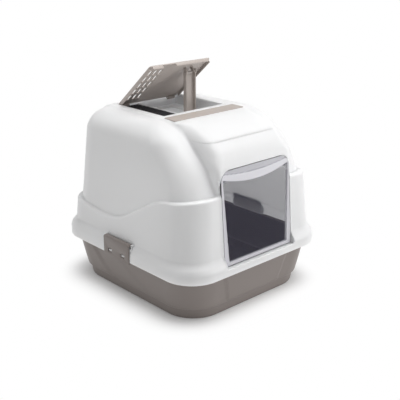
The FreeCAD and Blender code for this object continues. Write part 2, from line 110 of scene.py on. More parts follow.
class LitterBoxSizes(bpy.types.PropertyGroup):
    """Sizes of the moulded pieces."""

    wall: length("Wall", "Thickness of the hood's and the tray's walls", 0.003)
    mesh_pitch: length("Mesh pitch", "Spacing of the grid that the hood's skin is drawn on", 0.0022)
    draft_pitch: length("Draft pitch", "The same, for a quick look", 0.004)
    door_thickness: length("Door thickness", "Thickness of the door's clear panel", 0.003)
    door_gap: length("Door gap", "Gap between door and doorway", 0.0012)
    vent_length: length("Vent length", "Length of one round-ended vent in the lid", 0.020)
    vent_width: length("Vent width", "Width of one vent in the lid", 0.0075)


class LitterBoxColours(bpy.types.PropertyGroup):
    """Colours of the moulded pieces."""

    hood_white: colour("Hood", "White of the hood", "#f6f7f9")
    tray_taupe: colour("Tray", "Taupe of the tray", "#7f7773")
    trim_taupe: colour("Trim", "Taupe of the lid, arm and strip", "#aaa19b")
    door_smoke: colour("Door", "Smoky tint of the see-through door", "#46455c")
    # frosting and painted light: the rim and the strip above the rib are tinted lighter than the smoke
    door_frost_and_painted_light: colour("Door rim", "Tint of the door's thick rim", "#d3d2d8")
    filter_black: colour("Filter", "Black of the carbon pad", "#0b0b0d")
    floor_pale: colour("Floor", "Pale studio floor", "#f4f4f4")


def sizes():
    return bpy.context.scene.litter_box_sizes


def colours():
    return bpy.context.scene.litter_box_colours


# ---------------------------------------------------------------- mesh helpers
def new_object(name, points, faces, smooth=True):
    """Object at the origin from points in millimetres."""
    mesh = bpy.data.meshes.new(name)
    mesh.from_pydata((np.asarray(points, float) * MM).tolist(), [], [list(f) for f in faces])
    mesh.update()
    mesh.polygons.foreach_set("use_smooth", [smooth] * len(mesh.polygons))
    obj = bpy.data.objects.new(name, mesh)
    bpy.context.scene.collection.objects.link(obj)
    return obj


def plain_mesh(obj):
    """Turns the object's modifiers into its own mesh."""
    graph = bpy.context.evaluated_depsgraph_get()
    made = bpy.data.meshes.new_from_object(obj.evaluated_get(graph))
    obj.modifiers.clear()
    old = obj.data
    obj.data = made
    made.name = obj.name
    bpy.data.meshes.remove(old)
    return obj


def tidy(obj, merge=0.01):
    """Merges doubled points and turns every face outwards."""
    shape = bmesh.new()
    shape.from_mesh(obj.data)
    bmesh.ops.remove_doubles(shape, verts=shape.verts, dist=merge * MM)
    bmesh.ops.recalc_face_normals(shape, faces=shape.faces)
    shape.to_mesh(obj.data)
    shape.free()
    return obj


def boolean(obj, tool, operation):
    step = obj.modifiers.new("cut", "BOOLEAN")
    step.operation = operation
    step.solver = "EXACT"
    step.object = tool
    plain_mesh(obj)
    bpy.data.objects.remove(tool)
    return obj


def cut(obj, tool):
    return boolean(obj, tool, "DIFFERENCE")


def keep(obj, tool):
    return boolean(obj, tool, "INTERSECT")


def merge_in(obj, tool):
    return boolean(obj, tool, "UNION")


def soften(obj, width, angle=35.0, segments=2):
    """Small rounding along an object's edges, as a mould leaves them."""
    step = obj.modifiers.new("soften", "BEVEL")
    step.width = width * MM
    step.segments = segments
    step.limit_method = "ANGLE"
    step.angle_limit = math.radians(angle)
    step.harden_normals = False
    plain_mesh(obj)
    return shade_by_angle(obj)


def shade_by_angle(obj, angle=40.0):
    """Smooth faces, with edges sharper than the angle kept sharp."""
    mesh = obj.data
    mesh.polygons.foreach_set("use_smooth", [True] * len(mesh.polygons))
    shape = bmesh.new()
    shape.from_mesh(mesh)
    limit = math.radians(angle)
    for edge in shape.edges:
        edge.smooth = len(edge.link_faces) == 2 and edge.calc_face_angle(0.0) < limit
    shape.to_mesh(mesh)
    shape.free()
    return obj


def joined(name, parts):
    """One object from several, with doubled points left apart."""
    shape = bmesh.new()
    for part in parts:
        shape.from_mesh(part.data)
    mesh = bpy.data.meshes.new(name)
    shape.to_mesh(mesh)
    shape.free()
    obj = bpy.data.objects.new(name, mesh)
    bpy.context.scene.collection.objects.link(obj)
    for part in parts:
        bpy.data.objects.remove(part)
    return obj


def prism(name, outline, low, high, place):
    """Closed prism over an outline of (u, v) points; place(u, v, w) gives the point in space."""
    count = len(outline)
    points = [place(u, v, low) for u, v in outline] + [place(u, v, high) for u, v in outline]
    faces = [list(range(count))[::-1], list(range(count, 2 * count))]
    for i in range(count):
        j = (i + 1) % count
        faces.append([i, j, count + j, count + i])
    return tidy(new_object(name, points, faces))


def upright(u, v, w):
    return (u, v, w)


def along_x(u, v, w):
    return (w, u, v)


def along_y(u, v, w):
    return (u, w, v)


def in_doorway(u, v, w):
    """Doorway's own frame: u across, v up the leaning face, w behind it."""
    c = math.cos(FACE_ANGLE)
    s = math.sin(FACE_ANGLE)
    return (u, face_y(SILL_Z) + w * c + v * s, SILL_Z - w * s + v * c)


def across(w, v, u):
    """Doorway's own frame again, for rods that lie across it."""
    return in_doorway(u, v, w)


def box(x0, x1, y0, y1, z0, z1, name="block"):
    return prism(name, [(x0, y0), (x1, y0), (x1, y1), (x0, y1)], z0, z1, upright)


def rod(radius, low, high, centre, place, sides=32):
    """Round rod; centre is in the outline's plane."""
    turn = 2 * math.pi / sides
    outline = [
        (centre[0] + radius * math.cos(turn * i), centre[1] + radius * math.sin(turn * i))
        for i in range(sides)
    ]
    return prism("rod", outline, low, high, place)


def rounded_outline(u0, u1, v0, v1, radii, steps=10, straight=1):
    """Rounded rectangle, anticlockwise; radii from the low left corner round."""
    corners = [
        (u0 + radii[0], v0 + radii[0], radii[0], 180.0),
        (u1 - radii[1], v0 + radii[1], radii[1], 270.0),
        (u1 - radii[2], v1 - radii[2], radii[2], 0.0),
        (u0 + radii[3], v1 - radii[3], radii[3], 90.0),
    ]
    points = []
    for cu, cv, radius, start in corners:
        arc = []
        for i in range(steps + 1):
            angle = math.radians(start + 90.0 * i / steps)
            arc.append((cu + radius * math.cos(angle), cv + radius * math.sin(angle)))
        if points:
            points += between(points[-1], arc[0], straight)
        points += arc
    points += between(points[-1], points[0], straight)
    return points


def mirrored(side, near, far):
    """Run from near to far along X, on the left (-1) or the right (1), as low and high."""
    return sorted((side * near, side * far))


def between(start, end, parts):
    """Points that divide a run, its ends left out."""
    return [
        (start[0] + (end[0] - start[0]) * i / parts, start[1] + (end[1] - start[1]) * i / parts)
        for i in range(1, parts)
    ]


# ---------------------------------------------------------------- form of the hood, as a distance field in mm
def round_meet(a, b, radius):
    """Where both hold, with their meeting edge rounded."""
    return np.minimum(-radius, np.maximum(a, b)) + np.hypot(
        np.maximum(a + radius, 0), np.maximum(b + radius, 0)
    )


def round_join(a, b, radius):
    """Where either holds, with the corner between them filled."""
    return np.maximum(radius, np.minimum(a, b)) - np.hypot(
        np.maximum(radius - a, 0), np.maximum(radius - b, 0)
    )


def ramp(value, low, high):
    """Smooth step from 0 at low to 1 at high."""
    t = np.clip((value - low) / (high - low), 0.0, 1.0)
    return t * t * (3 - 2 * t)


def face_y(z):
    return FACE_Y + FACE_LEAN * (z - FLANGE_TOP)


def plan_distance(x, y, half_x, front, back, corner):
    """Distance from a rounded rectangle in plan."""
    middle = (front + back) / 2
    across = np.abs(x) - (half_x - corner)
    along = np.abs(y - middle) - ((back - front) / 2 - corner)
    outside = np.hypot(np.maximum(across, 0), np.maximum(along, 0))
    return outside + np.minimum(np.maximum(across, along), 0) - corner


def rolled_rim(x, y, z):
    """Flange round the foot, with a generous round along its upper edge."""
    side = plan_distance(x, y, HALF_W, -HALF_L, HALF_L, FLANGE_R)
    return round_meet(side, z - FLANGE_TOP, 20.0)


def ledge_height(x, y):
    """Height of the wavy ledge: low along the back and sides, high round the front."""
    height = 181.0 + 82.0 * ramp(-y, -55.0, 150.0)
    height = height + 0.14 * np.maximum(-150.0 - y, 0.0)
    return height + 11.0 * ramp(y, 80.0, 190.0)


def skirt(x, y, z):
    """Lower wall, up to the ledge; its front is the door's leaning face."""
    inset = 12.0 + 0.073 * (z - FLANGE_TOP)
    side = plan_distance(x, y, HALF_W - inset, face_y(z), HALF_L - inset, 64.0)
    top = (z - ledge_height(x, y)) * 0.93
    return round_meet(side, top, 4.5)


def upper_body(x, y, z):
    """Tapering upper body with a sloping front and a soft round along its top."""
    inset = 22.0 + 0.078 * (z - 200.0)
    side = plan_distance(x, y, HALF_W - inset, -HALF_L + inset, HALF_L - inset, 74.0)
    slope = (y + 88.0) * -0.686 + (z - SHOULDER_Z) * 0.728
    top = round_meet(slope, z - SHOULDER_Z, 34.0)
    return round_meet(side, top, 46.0)


def middle_band(x, y, z):
    """Band over the roof and down the front, with an elliptical brow."""
    reach = 138.5
    drop = 82.0
    base_z = ROOF_Z - drop
    up = (z - base_z) / drop
    lean = FACE_LEAN * (z - base_z) * np.clip(1 - up, 0, 1) ** 2
    out = (y - lean - ROOF_CURVE_Y) / reach
    size = np.maximum(np.hypot(out, up), 0.05)
    slope = np.maximum(np.hypot(out / reach, up / drop) / size, 1e-4)
    brow = (size - 1.0) / slope
    flat = np.maximum(z - ROOF_Z, face_y(z) - y)
    profile = np.where((y < ROOF_CURVE_Y) & (z > base_z), brow, flat)
    # a fine step across the brow: the face below it lies a little deeper
    below = ramp(374.8 - z, 0.0, 1.6) * ramp(z, 322.0, 352.0)
    profile = profile + 1.3 * below * (y < ROOF_CURVE_Y)
    hub_y = 159.0
    hub_z = ROOF_Z - 44.0
    back_round = np.hypot(np.maximum(y - hub_y, 0), np.maximum(z - hub_z, 0)) - 44.0
    back_flat = ((y - 190.0) * 159.0 - (z - 200.0) * 13.0) / 159.5
    back = np.where(z > hub_z, back_round, back_flat)
    profile = np.where(y > hub_y, np.maximum(back, z - ROOF_Z), profile)
    # the brow's side edges are much softer than those of the roof and the doorway
    edge = 9.0 + 16.0 * ramp(z, 322.0, 352.0) * ramp(-y, 69.0, 100.0)
    return round_meet(np.abs(x) - BAND_HALF, profile, edge)


def hood_form(x, y, z):
    form = round_join(skirt(x, y, z), upper_body(x, y, z), 2.5)
    form = round_join(form, middle_band(x, y, z), 6.0)
    return round_join(form, rolled_rim(x, y, z), 7.0)


def gradient(field, points):
    """Field's value and unit gradient at points of n by 3."""
    step = 0.05
    value = field(points[:, 0], points[:, 1], points[:, 2])
    slope = np.empty_like(points)
    for axis in range(3):
        shift = np.zeros(3)
        shift[axis] = step
        ahead = points + shift
        behind = points - shift
        slope[:, axis] = (
            field(ahead[:, 0], ahead[:, 1], ahead[:, 2]) - field(behind[:, 0], behind[:, 1], behind[:, 2])
        ) / (2 * step)
    size = np.maximum(np.linalg.norm(slope, axis=1), 1e-6)
    return value / size, slope / size[:, None]


def onto_surface(field, points, passes=4, level=0.0):
    """Moves points along the gradient until the field has the level there."""
    points = points.copy()
    for _ in range(passes):
        distance, normal = gradient(field, points)
        points -= normal * np.clip(distance - level, -2.0, 2.0)[:, None]
    return points


def surface_net(field, low, high, pitch):
    """Points and quads of a field's zero surface, on a grid of that pitch."""
    axes = [np.arange(a, b + pitch, pitch) for a, b in zip(low, high)]
    values = field(axes[0][:, None, None], axes[1][None, :, None], axes[2][None, None, :])
    inside = values < 0
    nx, ny, nz = inside.shape
    count = np.zeros((nx - 1, ny - 1, nz - 1), np.int8)
    offsets = [(i, j, k) for i in (0, 1) for j in (0, 1) for k in (0, 1)]
    for i, j, k in offsets:
        count += inside[i:nx - 1 + i, j:ny - 1 + j, k:nz - 1 + k]
    cells = np.argwhere((count > 0) & (count < 8))
    number = np.full(count.shape, -1, np.int64)
    number[cells[:, 0], cells[:, 1], cells[:, 2]] = np.arange(len(cells))
    corner_values = np.stack([
        values[cells[:, 0] + i, cells[:, 1] + j, cells[:, 2] + k] for i, j, k in offsets
    ], axis=1)
    total = np.zeros((len(cells), 3))
    crossings = np.zeros(len(cells))
    for a, first in enumerate(offsets):
        for b, second in enumerate(offsets):
            if b <= a or sum(abs(p - q) for p, q in zip(first, second)) != 1:
                continue
            va = corner_values[:, a]
            vb = corner_values[:, b]
            crossed = (va < 0) != (vb < 0)
            share = np.where(crossed, va / np.where(crossed, va - vb, 1.0), 0.0)
            spot = np.array(first) + share[:, None] * (np.array(second) - np.array(first))
            total += np.where(crossed[:, None], spot, 0.0)
            crossings += crossed
    points = (cells + total / crossings[:, None]) * pitch + np.array(low)
    quads = []
    for axis in range(3):
        first = [slice(None)] * 3
        second = [slice(None)] * 3
        first[axis] = slice(0, -1)
        second[axis] = slice(1, None)
        change = inside[tuple(first)] != inside[tuple(second)]
        outward = inside[tuple(first)]
        u = (axis + 1) % 3
        v = (axis + 2) % 3
        spots = np.argwhere(change)
        good = (spots[:, u] > 0) & (spots[:, v] > 0)
        good &= (spots[:, u] < inside.shape[u] - 1) & (spots[:, v] < inside.shape[v] - 1)
        spots = spots[good]
        facing = outward[spots[:, 0], spots[:, 1], spots[:, 2]]
        ring = []
        for du, dv in ((-1, -1), (0, -1), (0, 0), (-1, 0)):
            at = spots.copy()
            at[:, u] += du
            at[:, v] += dv
            ring.append(number[at[:, 0], at[:, 1], at[:, 2]])
        ring = np.stack(ring, axis=1)
        ring[~facing] = ring[~facing][:, ::-1]
        quads.append(ring)
    return points, np.concatenate(quads)


def mesh_points(mesh):
    flat = np.empty(len(mesh.vertices) * 3)
    mesh.vertices.foreach_get("co", flat)
    return flat.reshape(-1, 3) / MM


def set_points(mesh, points):
    mesh.vertices.foreach_set("co", (points * MM).ravel())
    mesh.update()


def hood_skin(name):
    """Thin-walled shell of the hood's form, open underneath."""
    pitch = sizes().mesh_pitch / MM
    low = (-HALF_W - 6.0, -HALF_L - 6.0, FLANGE_Z - 3 * pitch)
    high = (HALF_W + 6.0, HALF_L + 6.0, ROOF_Z + 5.0)
    points, quads = surface_net(hood_form, low, high, pitch)
    obj = new_object(name, onto_surface(hood_form, points), quads)
    step = obj.modifiers.new("thin", "DECIMATE")
    step.ratio = min(1.0, 62000.0 / (2 * len(quads)))
    plain_mesh(obj)
    set_points(obj.data, onto_surface(hood_form, mesh_points(obj.data), passes=3))
    shape = bmesh.new()
    shape.from_mesh(obj.data)
    bmesh.ops.bisect_plane(
        shape, geom=shape.verts[:] + shape.edges[:] + shape.faces[:], dist=1e-6,
        plane_co=(0, 0, FLANGE_Z * MM), plane_no=(0, 0, 1), clear_inner=True,
    )
    bmesh.ops.triangulate(shape, faces=shape.faces[:])
    shape.to_mesh(obj.data)
    shape.free()
    return thickened(obj)


def thickened(obj):
    """Gives the open skin its inner side, one wall further in, and closes the rim between them."""
    mesh = obj.data
    outer = mesh_points(mesh)
    count = len(outer)
    wall = sizes().wall / MM
    normal = gradient(hood_form, outer)[1]
    normal[outer[:, 2] < FLANGE_Z + 0.01, 2] = 0.0
    inner = outer - normal * wall
    shape = bmesh.new()
    shape.from_mesh(mesh)
    shape.verts.ensure_lookup_table()
    faces = [[v.index for v in face.verts] for face in shape.faces]
    edge_faces = []
    for edge in shape.edges:
        if edge.is_boundary:
            loop = edge.link_loops[0]
            a = loop.vert.index
            b = loop.link_loop_next.vert.index
            edge_faces.append([b, a, count + a, count + b])
    shape.free()
    faces += [[count + i for i in face[::-1]] for face in faces] + edge_faces
    name = obj.name
    bpy.data.objects.remove(obj)
    return new_object(name, np.concatenate([outer, inner]), faces)


def field_normals(obj, field, wall):
    """Gives the moulded faces the exact direction of the form, and leaves cut faces flat."""
    mesh = obj.data
    shape = bmesh.new()
    shape.from_mesh(mesh)
    bmesh.ops.triangulate(shape, faces=shape.faces[:])
    shape.to_mesh(mesh)
    shape.free()
    points = mesh_points(mesh)
    distance, normal = gradient(field, points)
    corners = np.empty(len(mesh.loops), np.int64)
    mesh.loops.foreach_get("vertex_index", corners)
    flat = np.empty(len(mesh.polygons) * 3)
    mesh.polygons.foreach_get("normal", flat)
    face_normal = np.repeat(flat.reshape(-1, 3), 3, axis=0)
    towards = (face_normal * normal[corners]).sum(axis=1)
    on_skin = np.abs(distance[corners]) < 0.3
    on_inside = np.abs(distance[corners] + wall) < 0.6
    outer = (on_skin & (towards > 0.75))[:, None]
    inner = (on_inside & (towards < -0.75))[:, None]
    chosen = np.where(outer, normal[corners], np.where(inner, -normal[corners], face_normal))
    mesh.polygons.foreach_set("use_smooth", [True] * len(mesh.polygons))
    mesh.normals_split_custom_set(chosen.tolist())
    mesh.update()
    return obj


# ---------------------------------------------------------------- materials
def add_node(tree, kind, values=None, links=None, **settings):
    """Adds a node, sets its settings and socket values, and links its inputs."""
    node = tree.nodes.new(kind)
    for key, value in settings.items():
        setattr(node, key, value)
    for key, value in (values or {}).items():
        node.inputs[key].default_value = value
    for key, socket in (links or {}).items():
        tree.links.new(socket, node.inputs[key])
    return node


def start_material(name, values):
    """A material with a shader on its output, and its object coordinates."""
    material = bpy.data.materials.new(name)
    material.use_nodes = True
    tree = material.node_tree
    tree.nodes.clear()
    shader = add_node(tree, "ShaderNodeBsdfPrincipled", values)
    output = add_node(tree, "ShaderNodeOutputMaterial", links={"Surface": shader.outputs["BSDF"]})
    output.location = (400, 0)
    where = add_node(tree, "ShaderNodeTexCoord").outputs["Object"]
    return material, tree, shader, where


def noise(tree, where, scale, detail, **values):
    values = {"Scale": scale, "Detail": detail, **values}
    return add_node(tree, "ShaderNodeTexNoise", values, {"Vector": where}).outputs["Fac"]


def mapped(tree, source, low, high):
    """A value from 0 to 1 brought to the run from low to high."""
    return add_node(
        tree, "ShaderNodeMapRange", {"To Min": low, "To Max": high}, {"Value": source}
    ).outputs["Result"]


def blended(tree, factor, low, high):
    """Colour from low to high by a factor; low may be a socket."""
    values = {7: (*high, 1)}
    links = {0: factor}
    if isinstance(low, bpy.types.NodeSocket):
        links[6] = low
    else:
        values[6] = (*low, 1)
    return add_node(tree, "ShaderNodeMix", values, links, data_type="RGBA").outputs[2]


def bumped(tree, height, strength, distance, under=None):
    """Bump normal from a height, on top of another normal if there is one."""
    links = {"Height": height}
    if under:
        links["Normal"] = under
    values = {"Strength": strength, "Distance": distance}
    return add_node(tree, "ShaderNodeBump", values, links).outputs["Normal"]


def moulded(name, shade, roughness, grain_mm, grain_depth, mottle=0.03, extra=None):
    """Injection-moulded polypropylene: fine spark-eroded grain, soft sheen, faint flow mottling."""
    values = {"IOR": 1.49, "Specular IOR Level": 0.35}
    values.update(extra or {})
    material, tree, shader, where = start_material(name, values)
    dark = [c * (1 - mottle) for c in shade]
    light = [min(1.0, c * (1 + mottle)) for c in shade]
    flow = noise(tree, where, 9.0, 3.0)
    tree.links.new(blended(tree, flow, dark, light), shader.inputs["Base Color"])
    # grain pitch: one bump every grain_mm
    grain = noise(tree, where, 1.0 / (grain_mm * MM), 2.0, Roughness=0.6)
    tree.links.new(mapped(tree, grain, roughness - 0.05, roughness + 0.06), shader.inputs["Roughness"])
    wave = bumped(tree, noise(tree, where, 22.0, 1.0), 0.25, 0.0004)
    tree.links.new(bumped(tree, grain, 0.5, grain_depth * MM, wave), shader.inputs["Normal"])
    return material


def tint(name):
    return tuple(getattr(colours(), name))


def finish(name):
    """Materials by name, made the first time that they are asked for."""
    made = bpy.data.materials.get(name)
    if made:
        return made
    if name == "white moulded polypropylene":
        # satin white wall, thin enough that daylight reaches the inside through it
        return moulded(name, tint("hood_white"), 0.38, 0.9, 0.02, 0.012, {
            "Subsurface Weight": 0.9, "Subsurface Radius": (0.016, 0.016, 0.016), "Subsurface Scale": 1.0,
        })
    if name == "taupe moulded polypropylene":
        # warm grey-brown, slightly rougher, so that light rolls off softly
        return moulded(name, tint("tray_taupe"), 0.42, 0.8, 0.03, 0.03)
    if name == "taupe satin polypropylene":
        # small parts off a finer mould, a little shinier
        return moulded(name, tint("trim_taupe"), 0.36, 0.7, 0.02, 0.03)
    if name == "smoked clear polystyrene":
        return clear_door(name)
    if name == "activated carbon fleece":
        return carbon_fleece(name)
    raise ValueError("no finish named " + name)


def clear_door(name):
    """Smoke-tinted clear polystyrene: thin see-through middle; the thick rim and the strip above the rib are
    frosted, and their lighter tint is also painted light, for the light that they catch.
    """
    material, tree, shader, where = start_material(name, {
        "IOR": 1.5, "Specular IOR Level": 0.5,
    })
    thick = add_node(tree, "ShaderNodeAttribute", attribute_name="rim").outputs["Fac"]
    end_on = add_node(tree, "ShaderNodeAttribute", attribute_name="edge").outputs["Fac"]
    # painted light: the lighter rim tint stands for frosting and also for light caught in the thick rim and
    # the strip above the rib
    sheet = blended(tree, thick, tint("door_smoke"), tint("door_frost_and_painted_light"))
    # seen end on, the sheet's cut edge is almost black
    tree.links.new(blended(tree, end_on, sheet, linear("#17171b")), shader.inputs["Base Color"])
    flow = noise(tree, where, 14.0, 2.0)
    frosted = add_node(tree, "ShaderNodeMath", {1: 0.25}, {0: thick}, operation="MULTIPLY").outputs[0]
    rough = add_node(
        tree, "ShaderNodeMath", links={0: mapped(tree, flow, 0.05, 0.10), 1: frosted}, operation="ADD"
    )
    tree.links.new(rough.outputs[0], shader.inputs["Roughness"])
    cover = add_node(
        tree, "ShaderNodeMath", links={0: mapped(tree, thick, 0.15, 0.7), 1: end_on}, operation="MAXIMUM"
    )
    tree.links.new(cover.outputs[0], shader.inputs["Alpha"])
    tree.links.new(bumped(tree, flow, 0.12, 0.0006), shader.inputs["Normal"])
    return material


def carbon_fleece(name):
    """Needled fleece loaded with carbon: matt black, tangled fibres, the raised ones painted greyer as sheen.
    """
    material, tree, shader, where = start_material(name, {
        "Roughness": 0.95, "Sheen Weight": 0.06, "Sheen Roughness": 0.5, "Specular IOR Level": 0.15,
    })
    # fibres about 0.4 mm thick, drawn at 1.2 mm so that they show
    fibre = noise(tree, where, 800.0, 4.0, Distortion=2.0)
    base = tint("filter_black")
    # painted sheen: the fibre noise that raises the fibres also paints them greyer
    pale = [min(1.0, c * 3.0 + 0.004) for c in base]
    tree.links.new(blended(tree, fibre, base, pale), shader.inputs["Base Color"])
    lumps = bumped(tree, noise(tree, where, 120.0, 2.0), 0.6, 0.0012)
    tree.links.new(bumped(tree, fibre, 0.8, 0.0005, lumps), shader.inputs["Normal"])
    return material


def dressed(obj, material, body, slot, *nodes):
    """Gives a finished piece its material and body, and hides the CAD nodes that it stands for; slot is not
    used.
    """
    obj.data.materials.clear()
    obj.data.materials.append(finish(material))
    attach(obj, body)
    if nodes:
        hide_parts(*nodes)
    return obj


# ---------------------------------------------------------------- repeated slots, as geometry nodes
def slot_tree():
    """Rows and columns of round-ended prisms, upright along Z."""
    tree = bpy.data.node_groups.new("Slot field", "GeometryNodeTree")
    face = tree.interface
    inputs = (
        ("Columns", "NodeSocketInt", 3), ("Rows", "NodeSocketInt", 5),
        ("Column pitch", "NodeSocketFloat", 0.015), ("Row pitch", "NodeSocketFloat", 0.025),
        ("Length along X", "NodeSocketFloat", 0.006), ("Length along Y", "NodeSocketFloat", 0.02),
        ("End radius", "NodeSocketFloat", 0.003), ("Depth", "NodeSocketFloat", 0.02),
        ("Middle", "NodeSocketVector", (0, 0, 0)), ("Material", "NodeSocketMaterial", None),
    )
    for name, kind, default in inputs:
        socket = face.new_socket(name, in_out="INPUT", socket_type=kind)
        if default is not None:
            socket.default_value = default
    face.new_socket("Geometry", in_out="OUTPUT", socket_type="NodeSocketGeometry")
    given = add_node(tree, "NodeGroupInput").outputs
    outline = add_node(tree, "GeometryNodeCurvePrimitiveQuadrilateral", links={
        "Width": given["Length along X"], "Height": given["Length along Y"],
    }, mode="RECTANGLE")
    ends = add_node(tree, "GeometryNodeFilletCurve", links={
        "Curve": outline.outputs["Curve"], "Radius": given["End radius"],
    })
    fillet_mode(ends, 5)
    sheet = add_node(tree, "GeometryNodeFillCurve", links={"Curve": ends.outputs["Curve"]})
    fill_mode(sheet)
    solid = add_node(tree, "GeometryNodeExtrudeMesh", {"Individual": False}, {
        "Mesh": sheet.outputs["Mesh"], "Offset Scale": given["Depth"],
    })
    base = add_node(tree, "GeometryNodeFlipFaces", links={"Mesh": sheet.outputs["Mesh"]})
    whole = add_node(tree, "GeometryNodeJoinGeometry")
    tree.links.new(solid.outputs["Mesh"], whole.inputs["Geometry"])
    tree.links.new(base.outputs["Mesh"], whole.inputs["Geometry"])
    closed = add_node(tree, "GeometryNodeMergeByDistance", {"Distance": 0.00001}, {
        "Geometry": whole.outputs["Geometry"],
    })
    grid = add_node(tree, "GeometryNodeMeshGrid", links={
        "Vertices X": given["Columns"], "Vertices Y": given["Rows"],
        "Size X": span_of(tree, given["Columns"], given["Column pitch"]),
        "Size Y": span_of(tree, given["Rows"], given["Row pitch"]),
    })
    placed = add_node(tree, "GeometryNodeTransform", links={
        "Geometry": grid.outputs["Mesh"], "Translation": given["Middle"],
    })
    copies = add_node(tree, "GeometryNodeInstanceOnPoints", links={
        "Points": placed.outputs["Geometry"], "Instance": closed.outputs["Geometry"],
    })
    real = add_node(tree, "GeometryNodeRealizeInstances", links={"Geometry": copies.outputs["Instances"]})
    painted = add_node(tree, "GeometryNodeSetMaterial", links={
        "Geometry": real.outputs["Geometry"], "Material": given["Material"],
    })
    add_node(tree, "NodeGroupOutput", links={"Geometry": painted.outputs["Geometry"]})
    return tree


def fillet_mode(node, count):
    """Round the corners with that many points."""
    node.mode = "POLY"
    node.inputs["Count"].default_value = count


def fill_mode(node):
    node.mode = "NGONS"


def span_of(tree, count, pitch):
    """Length that count points at that pitch cover."""
    gaps = add_node(tree, "ShaderNodeMath", {1: 1.0}, {0: count}, operation="SUBTRACT")
    span = add_node(tree, "ShaderNodeMath", links={0: gaps.outputs[0], 1: pitch}, operation="MULTIPLY")
    return span.outputs[0]


def slot_field(name, material, **given):
    """Solid prisms where slots go, from the slot tree, as one plain mesh."""
    tree = bpy.data.node_groups.get("Slot field") or slot_tree()
    obj = new_object(name, [(0, 0, 0)], [])
    step = obj.modifiers.new("slots", "NODES")
    step.node_group = tree
    given = dict(given, Material=finish(material))
    for item in tree.interface.items_tree:
        key = item.name.replace(" ", "_")
        if item.in_out == "INPUT" and key in given:
            step[item.identifier] = given[key]
    return tidy(plain_mesh(obj))


# ---------------------------------------------------------------- the hood's pieces
def doorway_outline(grow):
    """Doorway in its own frame, grown outwards."""
    radii = (DOORWAY_LOW_R + grow,) * 2 + (DOORWAY_R + grow,) * 2
    return rounded_outline(-DOORWAY_HALF - grow, DOORWAY_HALF + grow, -grow, DOORWAY_H + grow, radii, 12)


def build_hood_shell():
    """White outer shell with doorway, roof opening and the clips' notches cut through it."""
    shell = hood_skin("hood_shell")
    hatch = rounded_outline(-HATCH_HALF, HATCH_HALF, HATCH_FRONT, HATCH_BACK, (3.0,) * 4, 4)
    tools = [
        prism("doorway", doorway_outline(0.0), -40.0, 40.0, in_doorway),
        prism("hatch", hatch, HATCH_FLOOR - 1.0, ROOF_Z + 10.0, upright),
    ]
    for side in (-1, 1):
        x0, x1 = mirrored(side, CLIP_AXIS_X - 3.5, HALF_W + 20)
        y0 = CLIP_Y - CLIP_HALF - 1
        y1 = CLIP_Y + CLIP_HALF + 1
        tools.append(box(x0, x1, y0, y1, 80.0, CLIP_AXIS_Z + 4.0))
    cut(shell, joined("openings", tools))
    wall = sizes().wall / MM
    field_normals(shell, hood_form, wall)
    return dressed(shell, "white moulded polypropylene", "hood", "hood_plastic", "hood")


def rim_profile(x, low, high, count=16):
    """Points (y, z) up the outside of the hood's front at x, from low to high."""
    heights = np.linspace(low, high, count)
    outside = np.full(count, -HALF_L - 5.0)
    inside = np.full(count, -HALF_L + 35.0)
    for _ in range(24):
        middle = (outside + inside) / 2
        clear = hood_form(np.full(count, x), middle, heights) > 0
        outside = np.where(clear, middle, outside)
        inside = np.where(clear, inside, middle)
    return list(zip(inside, heights))


def build_doorway_surround():
    """Return round the doorway, the sill and cheeks that close the rolled rim, and the pin bosses."""
    depth = 12.0
    wall = 2.5
    ring = prism("ring", doorway_outline(wall), 2.8, depth, in_doorway)
    cut(ring, prism("hole", doorway_outline(0.0), -1.0, depth + 1.0, in_doorway))
    top = DOORWAY_H - DOORWAY_R - 12.0
    band = [(-150.0, -30.0), (150.0, -30.0), (150.0, top), (-150.0, top)]
    keep(ring, prism("band", band, -5.0, 30.0, in_doorway))
    parts = [soften(ring, 0.6)]
    reach = DOORWAY_HALF + wall
    sill = box(-reach, reach, -HALF_L + 0.3, FACE_Y + depth, SILL_Z - wall, SILL_Z)
    parts.append(soften(sill, 0.5))
    for side in (-1, 1):
        front = rim_profile(side * DOORWAY_HALF, SILL_Z - wall, FLANGE_TOP + 4.0)
        back = [(face_y(z) + 4.0, z) for y, z in reversed(front)]
        x0, x1 = mirrored(side, DOORWAY_HALF - 0.15, reach + 0.5)
        parts.append(prism("cheek", [(y + 0.1, z) for y, z in front] + back, x0, x1, along_x))
        x0, x1 = mirrored(side, 106.5, 109.6)
        low, high = DOOR_PIVOT[1] - 5.0, DOOR_PIVOT[1] + 5.0
        boss = prism("boss", [(x0, low), (x1, low), (x1, high), (x0, high)], 1.0, 8.0, in_doorway)
        parts.append(soften(boss, 0.8))
    piece = shade_by_angle(joined("doorway_surround", parts))
    return dressed(piece, "white moulded polypropylene", "hood", "hood_plastic")


